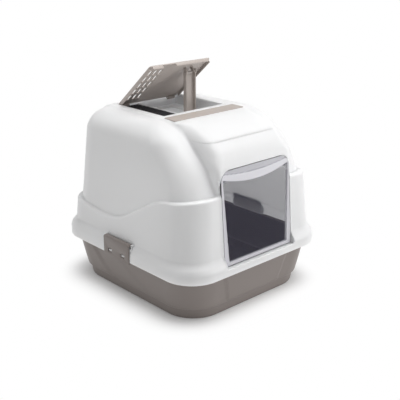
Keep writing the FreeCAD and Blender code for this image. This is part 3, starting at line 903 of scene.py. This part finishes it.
def build_roof_recess():
    """White recess under the lid, its floor slots, the filter's partition and the raised frame round it."""
    wall = 2.0
    outer = box(-HATCH_HALF - wall, HATCH_HALF + wall, HATCH_FRONT - wall, HATCH_BACK + wall,
                HATCH_FLOOR - wall, ROOF_Z - 2.9)
    inner = rounded_outline(-HATCH_HALF, HATCH_HALF, HATCH_FRONT, HATCH_BACK, (3.0,) * 4, 4)
    cut(outer, prism("inner", inner, HATCH_FLOOR, ROOF_Z + 1.0, upright))
    slots = slot_field(
        "filter_slots", "white moulded polypropylene", Columns=1, Rows=10, Column_pitch=0.01,
        Row_pitch=0.014, Length_along_X=0.037, Length_along_Y=0.006, End_radius=0.0029, Depth=0.02,
        Middle=(-0.0645, 0.062, 0.366),
    )
    cut(outer, slots)
    arm_slot = rounded_outline(20.0, 60.0, 4.0, 131.0, (4.0,) * 4, 5)
    cut(outer, prism("arm_slot", arm_slot, HATCH_FLOOR - 5, HATCH_FLOOR + 5, upright))
    partition = box(-38.0, -36.0, HATCH_FRONT - 1, 142.0, HATCH_FLOOR - 1, 399.0)
    merge_in(outer, partition)
    outer.name = "roof_recess"
    soften(outer, 0.5, 50.0)
    dressed(outer, "white moulded polypropylene", "hood", "hood_plastic")
    edge = rounded_outline(-98.0, 98.0, -23.0, 163.0, (9.0,) * 4, 8)
    rail = prism("hatch_frame", edge, ROOF_Z - 2.0, ROOF_Z + 1.6, upright)
    inner = rounded_outline(-90.85, 90.85, HATCH_FRONT + 0.15, HATCH_BACK - 0.15, (3.0,) * 4, 4)
    cut(rail, prism("inner", inner, ROOF_Z - 9.0, ROOF_Z + 9.0, upright))
    # the pad lies flush with the roof, so the frame stops at its partition
    cut(rail, box(-120.0, -36.0, -60.0, 150.0, ROOF_Z - 9.0, ROOF_Z + 9.0))
    soften(rail, 1.1, 50.0, 3)
    return dressed(rail, "white moulded polypropylene", "hood", "hood_plastic")


def build_clip_seat(side, word):
    """Wall behind a clip's notch, the two prongs that its slots snap over, and the cheeks."""
    face = CLIP_AXIS_X - 3.5
    back = face - 2.5
    x0, x1 = mirrored(side, back, face)
    y0 = CLIP_Y - CLIP_HALF - 3
    y1 = CLIP_Y + CLIP_HALF + 3
    seat = box(x0, x1, y0, y1, FLANGE_Z, CLIP_AXIS_Z + 6.0)
    for step in (-SLOT_STEP, SLOT_STEP):
        x0, x1 = mirrored(side, face - 1.0, HALF_W + 1.0)
        y = CLIP_Y + step
        outline = rounded_outline(y - 4.0, y + 4.0, 107.4, 110.8, (1.2,) * 4, 4)
        prong = soften(prism("prong", outline, x0, x1, along_x), 0.7, 50.0)
        merge_in(seat, prong)
    for y in (CLIP_Y - CLIP_HALF - 4.0, CLIP_Y + CLIP_HALF + 1.0):
        x0, x1 = mirrored(side, back + 0.5, HALF_W - 1.0)
        merge_in(seat, box(x0, x1, y, y + 3.0, FLANGE_Z, FLANGE_TOP - 6.0))
        x0, x1 = mirrored(side, back + 0.5, CLIP_AXIS_X + 3.0)
        merge_in(seat, box(x0, x1, y + 0.1, y + 2.9, FLANGE_Z, CLIP_AXIS_Z + 3.0))
    seat.name = "clip_seat_" + word
    shade_by_angle(seat)
    return dressed(seat, "white moulded polypropylene", "hood", "hood_plastic")


# ---------------------------------------------------------------- tray
def tray_relief(x, y, z, side_wall):
    """How far the wall's pressed panels lie back: slanting borders, soft edges, mm."""
    high = ramp(z, 27.0, 31.0) * (1 - ramp(z, 94.0, 101.0))
    # each facet leans back from its crisp border and fades out at the other end
    first = 111.0 + 0.86 * (z - 77.0) - y
    panel = ramp(first, -1.2, 1.2) * np.clip(2.6 - 0.02 * first, 0.0, 2.6) * side_wall
    panel = panel + 1.3 * ramp(-13.0 + 1.55 * (z - 64.0) - y, -1.5, 1.5) * side_wall
    beyond = np.abs(x) - (80.0 + 0.27 * (z - 27.0))
    front = ramp(beyond, -1.2, 1.2) * np.clip(2.6 - 0.04 * beyond, 0.0, 2.6)
    front = front * (1 - side_wall) * ramp(np.abs(y), 150.0, 185.0)
    return high * (panel + front)


def tray_ring(inset, z, corner, outside):
    """One ring round the tray, inset from the hood's flange."""
    half_x = HALF_W - inset
    half_y = HALF_L - inset
    outline = np.array(rounded_outline(-half_x, half_x, -half_y, half_y, (corner,) * 4, 20, 60))
    x = outline[:, 0]
    y = outline[:, 1]
    side_wall = ramp(np.abs(x), half_x - 14.0, half_x - 2.0)
    near = np.abs(y - CLIP_Y) < 51.0
    if outside:
        back = tray_relief(x, y, z, side_wall)
        if z > 103.0:
            # the rim stops short of the seats of the clips
            back = back + np.where(near & (side_wall > 0.9), max(0.0, 13.6 - inset), 0.0)
        out = np.stack([side_wall * np.sign(x), (1 - side_wall) * np.sign(y)], axis=1)
        outline = outline - out * back[:, None]
    return [(px, py, z) for px, py in outline]


TRAY_OUTSIDE = (
    (37.5, 0.0, 68.0), (34.0, 0.5, 72.0), (32.2, 2.4, 75.0), (31.4, 6.0, 76.0), (30.5, 13.0, 76.0),
    (29.4, 21.0, 76.0), (28.9, 23.2, 76.0), (27.6, 24.6, 76.0), (25.9, 25.4, 76.0), (24.9, 26.6, 76.0),
    (24.4, 29.0, 76.0), (23.2, 36.0, 76.0), (21.9, 43.0, 76.0), (20.7, 50.0, 76.0), (19.6, 57.0, 76.0),
    (18.5, 64.0, 76.0), (17.4, 71.0, 76.0), (16.3, 78.0, 76.0), (15.3, 85.0, 76.0), (14.4, 92.0, 76.0),
    (14.0, 97.0, 76.0), (13.8, 103.2, 76.0), (12.6, 105.2, 75.0), (10.6, 105.9, 73.0), (5.6, 106.2, 69.0),
    (4.7, 106.9, 68.0), (4.6, 108.2, 68.0), (5.4, 109.0, 69.0),
)
TRAY_INSIDE = (
    (15.8, 109.0, 74.0), (16.7, 108.3, 73.0), (16.9, 106.0, 73.0), (17.2, 97.0, 73.0), (22.0, 62.0, 73.0),
    (27.6, 29.0, 73.0), (29.2, 26.4, 73.0), (32.6, 24.6, 73.0), (33.2, 12.0, 73.0), (35.0, 5.5, 72.0),
    (38.0, 3.4, 70.0), (44.0, 3.0, 66.0),
)


def build_tray():
    """Taupe litter tray: stepped foot, flared wall with pressed panels, turned-out rim."""
    rings = [tray_ring(*ring, True) for ring in TRAY_OUTSIDE]
    rings += [tray_ring(*ring, False) for ring in TRAY_INSIDE]
    count = len(rings[0])
    points = [point for ring in rings for point in ring]
    faces = []
    for low in range(len(rings) - 1):
        for i in range(count):
            j = (i + 1) % count
            a = low * count
            faces.append([a + i, a + j, a + count + j, a + count + i])
    faces.append(list(range(count))[::-1])
    last = (len(rings) - 1) * count
    faces.append([last + i for i in range(count)])
    tray = tidy(new_object("tray_shell", points, faces))
    shade_by_angle(tray, 38.0)
    return dressed(tray, "taupe moulded polypropylene", "tray", "tray_plastic", "base_tray")


# ---------------------------------------------------------------- lid, drawn shut, then swung open
def swung_open(obj):
    """Turns a piece drawn with the lid shut to where the lid stands open."""
    hinge = Vector((0, LID_AXIS[0] * MM, LID_AXIS[1] * MM))
    turn = Matrix.Translation(hinge) @ Matrix.Rotation(-LID_OPEN, 4, "X") @ Matrix.Translation(-hinge)
    obj.data.transform(turn)
    return obj


def relief_plate(name, u0, u1, v0, v1, pitch, high, low, place):
    """Closed plate whose two faces follow high(u, v) and low(u, v)."""
    us = np.linspace(u0, u1, max(2, round((u1 - u0) / pitch) + 1))
    vs = np.linspace(v0, v1, max(2, round((v1 - v0) / pitch) + 1))
    grid_u, grid_v = np.meshgrid(us, vs, indexing="ij")
    top = high(grid_u, grid_v)
    bottom = low(grid_u, grid_v)
    rows, columns = grid_u.shape
    count = rows * columns
    flat = list(zip(grid_u.ravel(), grid_v.ravel(), top.ravel()))
    flat += list(zip(grid_u.ravel(), grid_v.ravel(), bottom.ravel()))
    faces = []
    for i in range(rows - 1):
        for j in range(columns - 1):
            a = i * columns + j
            faces.append([a, a + columns, a + columns + 1, a + 1])
            faces.append([count + a, count + a + 1, count + a + columns + 1, count + a + columns])
    edge = [i * columns for i in range(rows)]
    edge += [(rows - 1) * columns + j for j in range(1, columns)]
    edge += [i * columns + columns - 1 for i in range(rows - 2, -1, -1)]
    edge += [j for j in range(columns - 2, 0, -1)]
    for a, b in zip(edge, edge[1:] + edge[:1]):
        faces.append([a, b, count + b, count + a])
    return tidy(new_object(name, [place(*point) for point in flat], faces))


def build_lid():
    """Taupe roof lid: crowned plate with vents, side rims, front lip, knuckles and lugs."""
    half = 89.5
    front = LID_AXIS[0] - 161.0
    top = 402.5
    thick = 2.5
    rim_low = top - 9.0

    def crown(u, v):
        edge = np.minimum(half - np.abs(u), np.minimum(v - front, LID_AXIS[0] - v))
        return 0.9 * ramp(edge, 5.0, 7.5) + 1.2 * ramp(edge, 5.0, 60.0)

    lid = relief_plate(
        "roof_lid_plate", -half, half, front, LID_AXIS[0], 2.0,
        lambda u, v: top + crown(u, v), lambda u, v: top - thick + crown(u, v) * 0.8, upright,
    )
    radii = (6.0, 6.0, 1.5, 1.5)
    outline = rounded_outline(-half + 0.01, half - 0.01, front + 0.01, LID_AXIS[0] - 0.01, radii, 8)
    keep(lid, prism("outline", outline, top - 30, top + 30, upright))
    vents = slot_field(
        "vents", "taupe satin polypropylene", Columns=3, Rows=5, Column_pitch=0.015, Row_pitch=0.02525,
        Length_along_X=sizes().vent_width, Length_along_Y=sizes().vent_length,
        End_radius=sizes().vent_width * 0.49, Depth=0.03, Middle=(-0.057, 0.069, 0.390),
    )
    cut(lid, vents)
    soften(lid, 0.5, 45.0)
    parts = [lid]
    low = top - thick + 0.6
    for side in (-1, 1):
        x0, x1 = mirrored(side, half, half - 2.0)
        rail = box(x0, x1, front + 6, LID_AXIS[0] - 8, rim_low, low)
        parts.append(soften(rail, 0.6, 50.0))
        x0, x1 = mirrored(side, 60.0, 80.0)
        knuckle = rod(4.5, x0, x1, LID_AXIS, along_x)
        cut(knuckle, rod(2.05, x0 - 1, x1 + 1, LID_AXIS, along_x))
        parts.append(soften(knuckle, 0.4, 50.0))
    for x0, x1 in ((-half + 6, -54.0), (-16.0, half - 6)):
        lip = rounded_outline(x0, x1, rim_low, low, (2.5, 2.5, 0.3, 0.3), 5)
        lip = prism("lip", lip, front, front + 2.0, along_y)
        parts.append(soften(lip, 0.5, 50.0))
    pin = (LID_AXIS[0] - ARM_PIN_BACK, LID_AXIS[1] - ARM_PIN_BELOW)
    for x0 in (ARM_X - 11.5, ARM_X + 9.0):
        lug = rod(3.5, x0, x0 + 2.5, pin, along_x)
        merge_in(lug, box(x0, x0 + 2.5, pin[0] - 3.5, pin[0] + 3.5, pin[1], low + 0.6))
        cut(lug, rod(1.52, x0 - 1, x0 + 4, pin, along_x))
        parts.append(soften(lug, 0.3, 50.0))
    piece = swung_open(shade_by_angle(joined("roof_lid_panel", parts)))
    return dressed(piece, "taupe satin polypropylene", "lid", "taupe_trim", "roof_lid")


def open_pin():
    """Arm's pivot with the lid open, as (y, z)."""
    back = -ARM_PIN_BACK
    low = -ARM_PIN_BELOW
    c = math.cos(-LID_OPEN)
    s = math.sin(-LID_OPEN)
    return LID_AXIS[0] + back * c - low * s, LID_AXIS[1] + back * s + low * c


def build_arm():
    """Prop arm: moulded channel open to the front, rounded ears at the top, a foot below."""
    y, z = open_pin()
    half = 15.0
    wall = 2.0
    front = y - 4.0
    back = y + 6.0
    foot = 372.0
    ear = 6.0
    arm = box(ARM_X - half, ARM_X + half, back - wall, back, foot, z - 7.0)
    for x0 in (ARM_X - half, ARM_X + half - wall):
        side = [(front, foot), (back, foot), (back, z - 9.0)]
        for i in range(13):
            angle = math.radians(-10.0 + 200.0 * i / 12)
            side.append((y + ear * math.cos(angle), z + ear * math.sin(angle)))
        side.append((front, z - 8.0))
        flange = prism("flange", side, x0, x0 + wall, along_x)
        cut(flange, rod(1.55, x0 - 1, x0 + wall + 1, (y, z), along_x))
        merge_in(arm, flange)
    merge_in(arm, box(ARM_X - half, ARM_X + half, front, back, foot, foot + wall))
    arm.name = "prop_arm_channel"
    soften(arm, 0.45, 50.0)
    return dressed(arm, "taupe satin polypropylene", "arm", "taupe_trim", "prop_arm")


# ---------------------------------------------------------------- door
def door_sag(u, low):
    """Height, up the door, of the curved rib's lower or upper line."""
    share = (u / 98.0) ** 2
    return np.where(low, 174.5 + 14.5 * share, 193.5 + 8.0 * share)


def door_rib(u, v):
    """1 on the raised rib round the window, 0 off it."""
    edge_u = DOORWAY_HALF - sizes().door_gap / MM - np.abs(u)
    edge_v = v - sizes().door_gap / MM
    # the rib is narrow at the top and broadens towards the foot
    side = edge_u - 6.0 - 9.5 * np.clip(1 - v / 185.0, 0.0, 1.0)
    border = 1 - ramp(np.minimum(side, edge_v - 9.0), -1.0, 1.0)
    curve = ramp(v - door_sag(u, True), -1.2, 1.2) * (1 - ramp(v - door_sag(u, False), -1.2, 1.2))
    return np.maximum(border * (1 - ramp(v - door_sag(u, False), -1.0, 1.0)), curve)


def door_face(u, v):
    """How far in front of the panel's plain face each point stands."""
    gap = sizes().door_gap / MM
    edge = np.minimum(DOORWAY_HALF - gap - np.abs(u), np.minimum(v - gap, DOORWAY_H - gap - v))
    rolled = 0.8 * (1 - ramp(edge, 0.0, 1.2))
    window = ramp(0.5 - door_rib(u, v), -0.5, 0.5) * (1 - ramp(v - door_sag(u, True), -1.0, 1.0))
    return 1.9 * door_rib(u, v) + 0.5 * (1 - window) - rolled


def build_door():
    """See-through swing door: flat window, raised rib that sags across the top, pin barrels."""
    gap = sizes().door_gap / MM
    thick = sizes().door_thickness / MM
    half = DOORWAY_HALF - gap
    top = DOORWAY_H - gap
    pitch = 1.4
    door = relief_plate(
        "door_flap", -half, half, gap, top, pitch,
        lambda u, v: 1.5 - door_face(u, v), lambda u, v: 1.5 + thick + 0 * u, in_doorway,
    )
    radii = (2.8, 2.8, DOORWAY_R - gap, DOORWAY_R - gap)
    outline = rounded_outline(-half + 0.01, half - 0.01, gap + 0.01, top - 0.01, radii, 14)
    keep(door, prism("outline", outline, -20.0, 20.0, in_doorway))
    for side in (-1, 1):
        x0, x1 = mirrored(side, 90.0, 102.0)
        barrel = rod(3.3, x0, x1, DOOR_PIVOT, across)
        merge_in(door, barrel)
        x0, x1 = mirrored(side, 92.0, 106.0)
        cut(door, rod(2.0, x0, x1, DOOR_PIVOT, across))
    shade_by_angle(door, 35.0)
    points = mesh_points(door.data)
    c = math.cos(FACE_ANGLE)
    s = math.sin(FACE_ANGLE)
    up = (points[:, 1] - face_y(SILL_Z)) * s + (points[:, 2] - SILL_Z) * c
    rib = door_rib(points[:, 0], up)
    above = ramp(up - door_sag(points[:, 0], False), -1.0, 1.0)
    # the rim mask, with the strip above the rib, is where the door is painted lighter: frosting and painted
    # light
    attribute = door.data.attributes.new("rim", "FLOAT", "POINT")
    attribute.data.foreach_set("value", np.maximum(rib, 0.7 * above).astype(np.float32))
    outline = np.minimum(half - np.abs(points[:, 0]), np.minimum(up - gap, top - up))
    attribute = door.data.attributes.new("edge", "FLOAT", "POINT")
    attribute.data.foreach_set("value", (1 - ramp(outline, 0.1, 1.0)).astype(np.float32))
    return dressed(door, "smoked clear polystyrene", "door", "smoked_clear", "door_panel")


# ---------------------------------------------------------------- side clips, trim, filter
def build_clip(side, word):
    """Side clip: plate with two slots, rolled over at the top to its barrel."""
    out = HALF_W + 2.0
    inner = out - 2.5
    profile = [(inner, 95.0), (out, 95.0)]
    for i in range(9):
        angle = math.radians(90.0 * i / 8)
        profile.append((out - 4.5 + 4.5 * math.cos(angle), CLIP_AXIS_Z - 1.5 + 4.5 * math.sin(angle)))
    for i in range(13):
        angle = math.radians(90.0 + 200.0 * i / 12)
        profile.append((CLIP_AXIS_X + 3.0 * math.cos(angle), CLIP_AXIS_Z + 3.0 * math.sin(angle)))
    under = CLIP_AXIS_Z - 0.6
    profile += [(CLIP_AXIS_X + 3.6, under), (inner - 1.4, under), (inner, CLIP_AXIS_Z - 2.6)]
    profile = [(side * u, v) for u, v in profile]
    y0 = CLIP_Y - CLIP_HALF
    y1 = CLIP_Y + CLIP_HALF
    clip = prism("clip_plate_" + word, profile, y0, y1, along_y)
    shape = rounded_outline(y0 + 0.01, y1 - 0.01, 95.01, 150.0, (1.2, 1.2, 0.5, 0.5), 6)
    x0, x1 = mirrored(side, 195.0, 225.0)
    keep(clip, prism("shape", shape, x0, x1, along_x))
    for step in (-SLOT_STEP, SLOT_STEP):
        y = CLIP_Y + step
        slot = rounded_outline(y - 7.0, y + 7.0, 105.0, 113.5, (1.5,) * 4, 4)
        x0, x1 = mirrored(side, HALF_W - 6, HALF_W + 10)
        cut(clip, prism("slot", slot, x0, x1, along_x))
    bore = (side * CLIP_AXIS_X, CLIP_AXIS_Z)
    cut(clip, rod(1.55, y0 - 1, y1 + 1, bore, along_y))
    soften(clip, 0.5, 45.0)
    body = "clip_" + word
    return dressed(clip, "taupe moulded polypropylene", body, "taupe_trim", "latch_" + word)


def build_trim():
    """Taupe strip let into the roof in front of the lid."""
    outline = rounded_outline(-104.0, 104.0, ROOF_CURVE_Y, -31.0, (4.0,) * 4, 6)
    trim = prism("roof_trim_strip", outline, ROOF_Z - 1.5, ROOF_Z + 1.5, upright)
    soften(trim, 0.9, 50.0, 3)
    return dressed(trim, "taupe satin polypropylene", "hood", "taupe_trim", "roof_trim")


def build_filter():
    """Carbon pad: cut fleece with a soft, slightly domed and uneven face."""
    x0, x1, y0, y1 = -86.8, -38.6, -9.3, 141.0
    low = HATCH_FLOOR
    high = 399.0

    def top(u, v):
        edge = np.minimum(np.minimum(u - x0, x1 - u), np.minimum(v - y0, y1 - v))
        roll = 2.2 * (1 - np.sqrt(np.clip(1 - (1 - np.clip(edge / 3.0, 0, 1)) ** 2, 0, 1)))
        wave = 0.35 * np.sin(u * 0.19 + 0.6) * np.sin(v * 0.11) + 0.2 * np.sin(u * 0.5) * np.sin(v * 0.43)
        return high - 0.7 - roll + wave

    pad = relief_plate("carbon_pad", x0, x1, y0, y1, 1.5, top, lambda u, v: low + 0 * u, upright)
    shade_by_angle(pad, 60.0)
    dressed(pad, "activated carbon fleece", "hood", "carbon_pad", "carbon_filter")
    return pad


def dress_pins():
    """Better materials on the pins that come straight from the frame."""
    looks = {
        "lid_pin_left": "white moulded polypropylene", "lid_pin_right": "white moulded polypropylene",
        "latch_pin_left": "white moulded polypropylene", "latch_pin_right": "white moulded polypropylene",
        "door_pin_left": "smoked clear polystyrene", "door_pin_right": "smoked clear polystyrene",
        "prop_arm_pin": "taupe moulded polypropylene",
    }
    for node, look in looks.items():
        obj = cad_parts[node]
        if not obj.material_slots:
            obj.data.materials.append(None)
        for place in obj.material_slots:
            place.material = finish(look)


class LITTERBOX_OT_hood_shell(bpy.types.Operator):
    """Builds the hood's white shell"""

    bl_idname = "litterbox.hood_shell"
    bl_label = "Hood shell"

    def execute(self, context):
        build_hood_shell()
        return {"FINISHED"}


class LITTERBOX_OT_hood_fittings(bpy.types.Operator):
    """Builds the doorway surround, the roof recess and the seats of the clips"""

    bl_idname = "litterbox.hood_fittings"
    bl_label = "Hood fittings"

    def execute(self, context):
        build_doorway_surround()
        build_roof_recess()
        for side, word in ((-1, "left"), (1, "right")):
            build_clip_seat(side, word)
        return {"FINISHED"}


class LITTERBOX_OT_tray(bpy.types.Operator):
    """Builds the taupe litter tray"""

    bl_idname = "litterbox.tray"
    bl_label = "Tray"

    def execute(self, context):
        build_tray()
        return {"FINISHED"}


class LITTERBOX_OT_lid(bpy.types.Operator):
    """Builds the lid with its vents"""

    bl_idname = "litterbox.lid"
    bl_label = "Roof lid"

    def execute(self, context):
        build_lid()
        return {"FINISHED"}


class LITTERBOX_OT_arm(bpy.types.Operator):
    """Builds the arm that props the lid"""

    bl_idname = "litterbox.arm"
    bl_label = "Prop arm"

    def execute(self, context):
        build_arm()
        return {"FINISHED"}


class LITTERBOX_OT_door(bpy.types.Operator):
    """Builds the see-through swing door"""

    bl_idname = "litterbox.door"
    bl_label = "Door"

    def execute(self, context):
        build_door()
        return {"FINISHED"}


class LITTERBOX_OT_clips(bpy.types.Operator):
    """Builds the two side clips"""

    bl_idname = "litterbox.clips"
    bl_label = "Side clips"

    def execute(self, context):
        for side, word in ((-1, "left"), (1, "right")):
            build_clip(side, word)
        return {"FINISHED"}


class LITTERBOX_OT_trim(bpy.types.Operator):
    """Builds the roof strip and the carbon filter pad"""

    bl_idname = "litterbox.trim"
    bl_label = "Trim and filter"

    def execute(self, context):
        build_trim()
        build_filter()
        return {"FINISHED"}


class LITTERBOX_OT_pins(bpy.types.Operator):
    """Gives the pins their materials"""

    bl_idname = "litterbox.pins"
    bl_label = "Pins"

    def execute(self, context):
        dress_pins()
        return {"FINISHED"}


class LITTERBOX_OT_stage(bpy.types.Operator):
    """Adds the pale floor, the soft lights and the camera"""

    bl_idname = "litterbox.stage"
    bl_label = "Stage"

    def execute(self, context):
        build_stage()
        return {"FINISHED"}


def area_light(name, place, target, size, power):
    lamp = bpy.data.lights.new(name, "AREA")
    lamp.shape = "RECTANGLE"
    lamp.size = size[0]
    lamp.size_y = size[1]
    lamp.energy = power
    obj = bpy.data.objects.new(name, lamp)
    obj.location = place
    obj.rotation_mode = "QUATERNION"
    obj.rotation_quaternion = (Vector(target) - Vector(place)).to_track_quat("-Z", "Y")
    bpy.context.scene.collection.objects.link(obj)
    return obj


def build_stage():
    """Pale floor, even studio light, camera."""
    scene = bpy.context.scene
    scene.view_settings.view_transform = "Standard"
    reach = 20.0 / MM
    corners = [(-reach, -reach, 0), (reach, -reach, 0), (reach, reach, 0), (-reach, reach, 0)]
    floor = new_object("floor", corners, [(0, 1, 2, 3)])
    floor.location = (0, 0, -0.0002)
    material, tree, shader, where = start_material("matt white paper floor", {
        "Roughness": 0.9, "Specular IOR Level": 0.1,
    })
    pale = tint("floor_pale")
    dull = [c * 0.985 for c in pale]
    tree.links.new(blended(tree, noise(tree, where, 3.0, 2.0), dull, pale), shader.inputs["Base Color"])
    # overlit paper: near the box the floor keeps its shadow, further off it burns out to white
    corner = 0.068
    foot = (0.1765 - corner, 0.1975 - corner, 0.0)
    place = where
    for operation, other in (("ABSOLUTE", None), ("SUBTRACT", foot), ("MAXIMUM", (0.0, 0.0, 0.0))):
        values = {1: other} if other else {}
        place = add_node(tree, "ShaderNodeVectorMath", values, {0: place}, operation=operation).outputs[0]
    apart = add_node(tree, "ShaderNodeVectorMath", links={0: place}, operation="LENGTH")
    share = add_node(
        tree, "ShaderNodeMapRange",
        {"From Min": corner, "From Max": corner + 0.09, "To Min": 0.1, "To Max": 1.0},
        {"Value": apart.outputs["Value"]}, interpolation_type="SMOOTHSTEP",
    )
    glow = add_node(tree, "ShaderNodeEmission", {"Color": (1, 1, 1, 1), "Strength": 1.0})
    blend = add_node(tree, "ShaderNodeMixShader", {}, {
        0: share.outputs["Result"], 1: shader.outputs["BSDF"], 2: glow.outputs["Emission"],
    })
    output = next(node for node in tree.nodes if node.type == "OUTPUT_MATERIAL")
    tree.links.new(blend.outputs["Shader"], output.inputs["Surface"])
    floor.data.materials.append(material)
    world = bpy.data.worlds.new("studio")
    scene.world = world
    world.use_nodes = True
    sky = world.node_tree
    sky.nodes.clear()
    glow = add_node(sky, "ShaderNodeBackground", {"Color": (1, 1, 1, 1), "Strength": 0.40})
    add_node(sky, "ShaderNodeOutputWorld", links={"Surface": glow.outputs["Background"]})
    middle = (0.0, 0.0, 0.2)
    area_light("top softbox", (0.3, -0.4, 2.2), middle, (1.8, 1.8), 46.0)
    area_light("front softbox", (0.95, -1.35, 0.25), (0.0, 0.0, 0.12), (0.8, 0.5), 6.5)
    area_light("back softbox", (-1.0, 2.0, 1.8), middle, (1.6, 1.0), 6.0)
    camera = bpy.data.cameras.new("camera")
    camera.lens = 68.13
    camera.sensor_width = 36.0
    camera.clip_end = 100.0
    eye = bpy.data.objects.new("camera", camera)
    eye.location = (-1.1253, -1.2530, 0.7840)
    eye.rotation_mode = "QUATERNION"
    eye.rotation_quaternion = Vector((0.63889, 0.69232, -0.33545)).to_track_quat("-Z", "Y")
    scene.collection.objects.link(eye)
    scene.camera = eye


CLASSES = (
    LitterBoxSizes,
    LitterBoxColours,
    LITTERBOX_OT_hood_shell,
    LITTERBOX_OT_hood_fittings,
    LITTERBOX_OT_tray,
    LITTERBOX_OT_lid,
    LITTERBOX_OT_arm,
    LITTERBOX_OT_door,
    LITTERBOX_OT_clips,
    LITTERBOX_OT_trim,
    LITTERBOX_OT_pins,
    LITTERBOX_OT_stage,
)
STEPS = ("hood_shell", "hood_fittings", "tray", "lid", "arm", "door", "clips", "trim", "pins", "stage")


class LITTERBOX_PT_panel(bpy.types.Panel):
    """Lists the pieces and their sizes and colours"""

    bl_idname = "LITTERBOX_PT_panel"
    bl_label = "Litter box"
    bl_space_type = "VIEW_3D"
    bl_region_type = "UI"
    bl_category = "Litter box"

    def draw(self, context):
        for step in STEPS:
            self.layout.operator("litterbox." + step)
        for group in (context.scene.litter_box_sizes, context.scene.litter_box_colours):
            for name in type(group).__annotations__:
                self.layout.prop(group, name)


def register():
    for item in CLASSES + (LITTERBOX_PT_panel,):
        bpy.utils.register_class(item)
    bpy.types.Scene.litter_box_sizes = bpy.props.PointerProperty(type=LitterBoxSizes)
    bpy.types.Scene.litter_box_colours = bpy.props.PointerProperty(type=LitterBoxColours)


def unregister():
    del bpy.types.Scene.litter_box_colours
    del bpy.types.Scene.litter_box_sizes
    for item in reversed(CLASSES + (LITTERBOX_PT_panel,)):
        bpy.utils.unregister_class(item)


def main():
    register()
    for step in STEPS:
        getattr(bpy.ops.litterbox, step)()


if __name__ == "__main__":
    main()
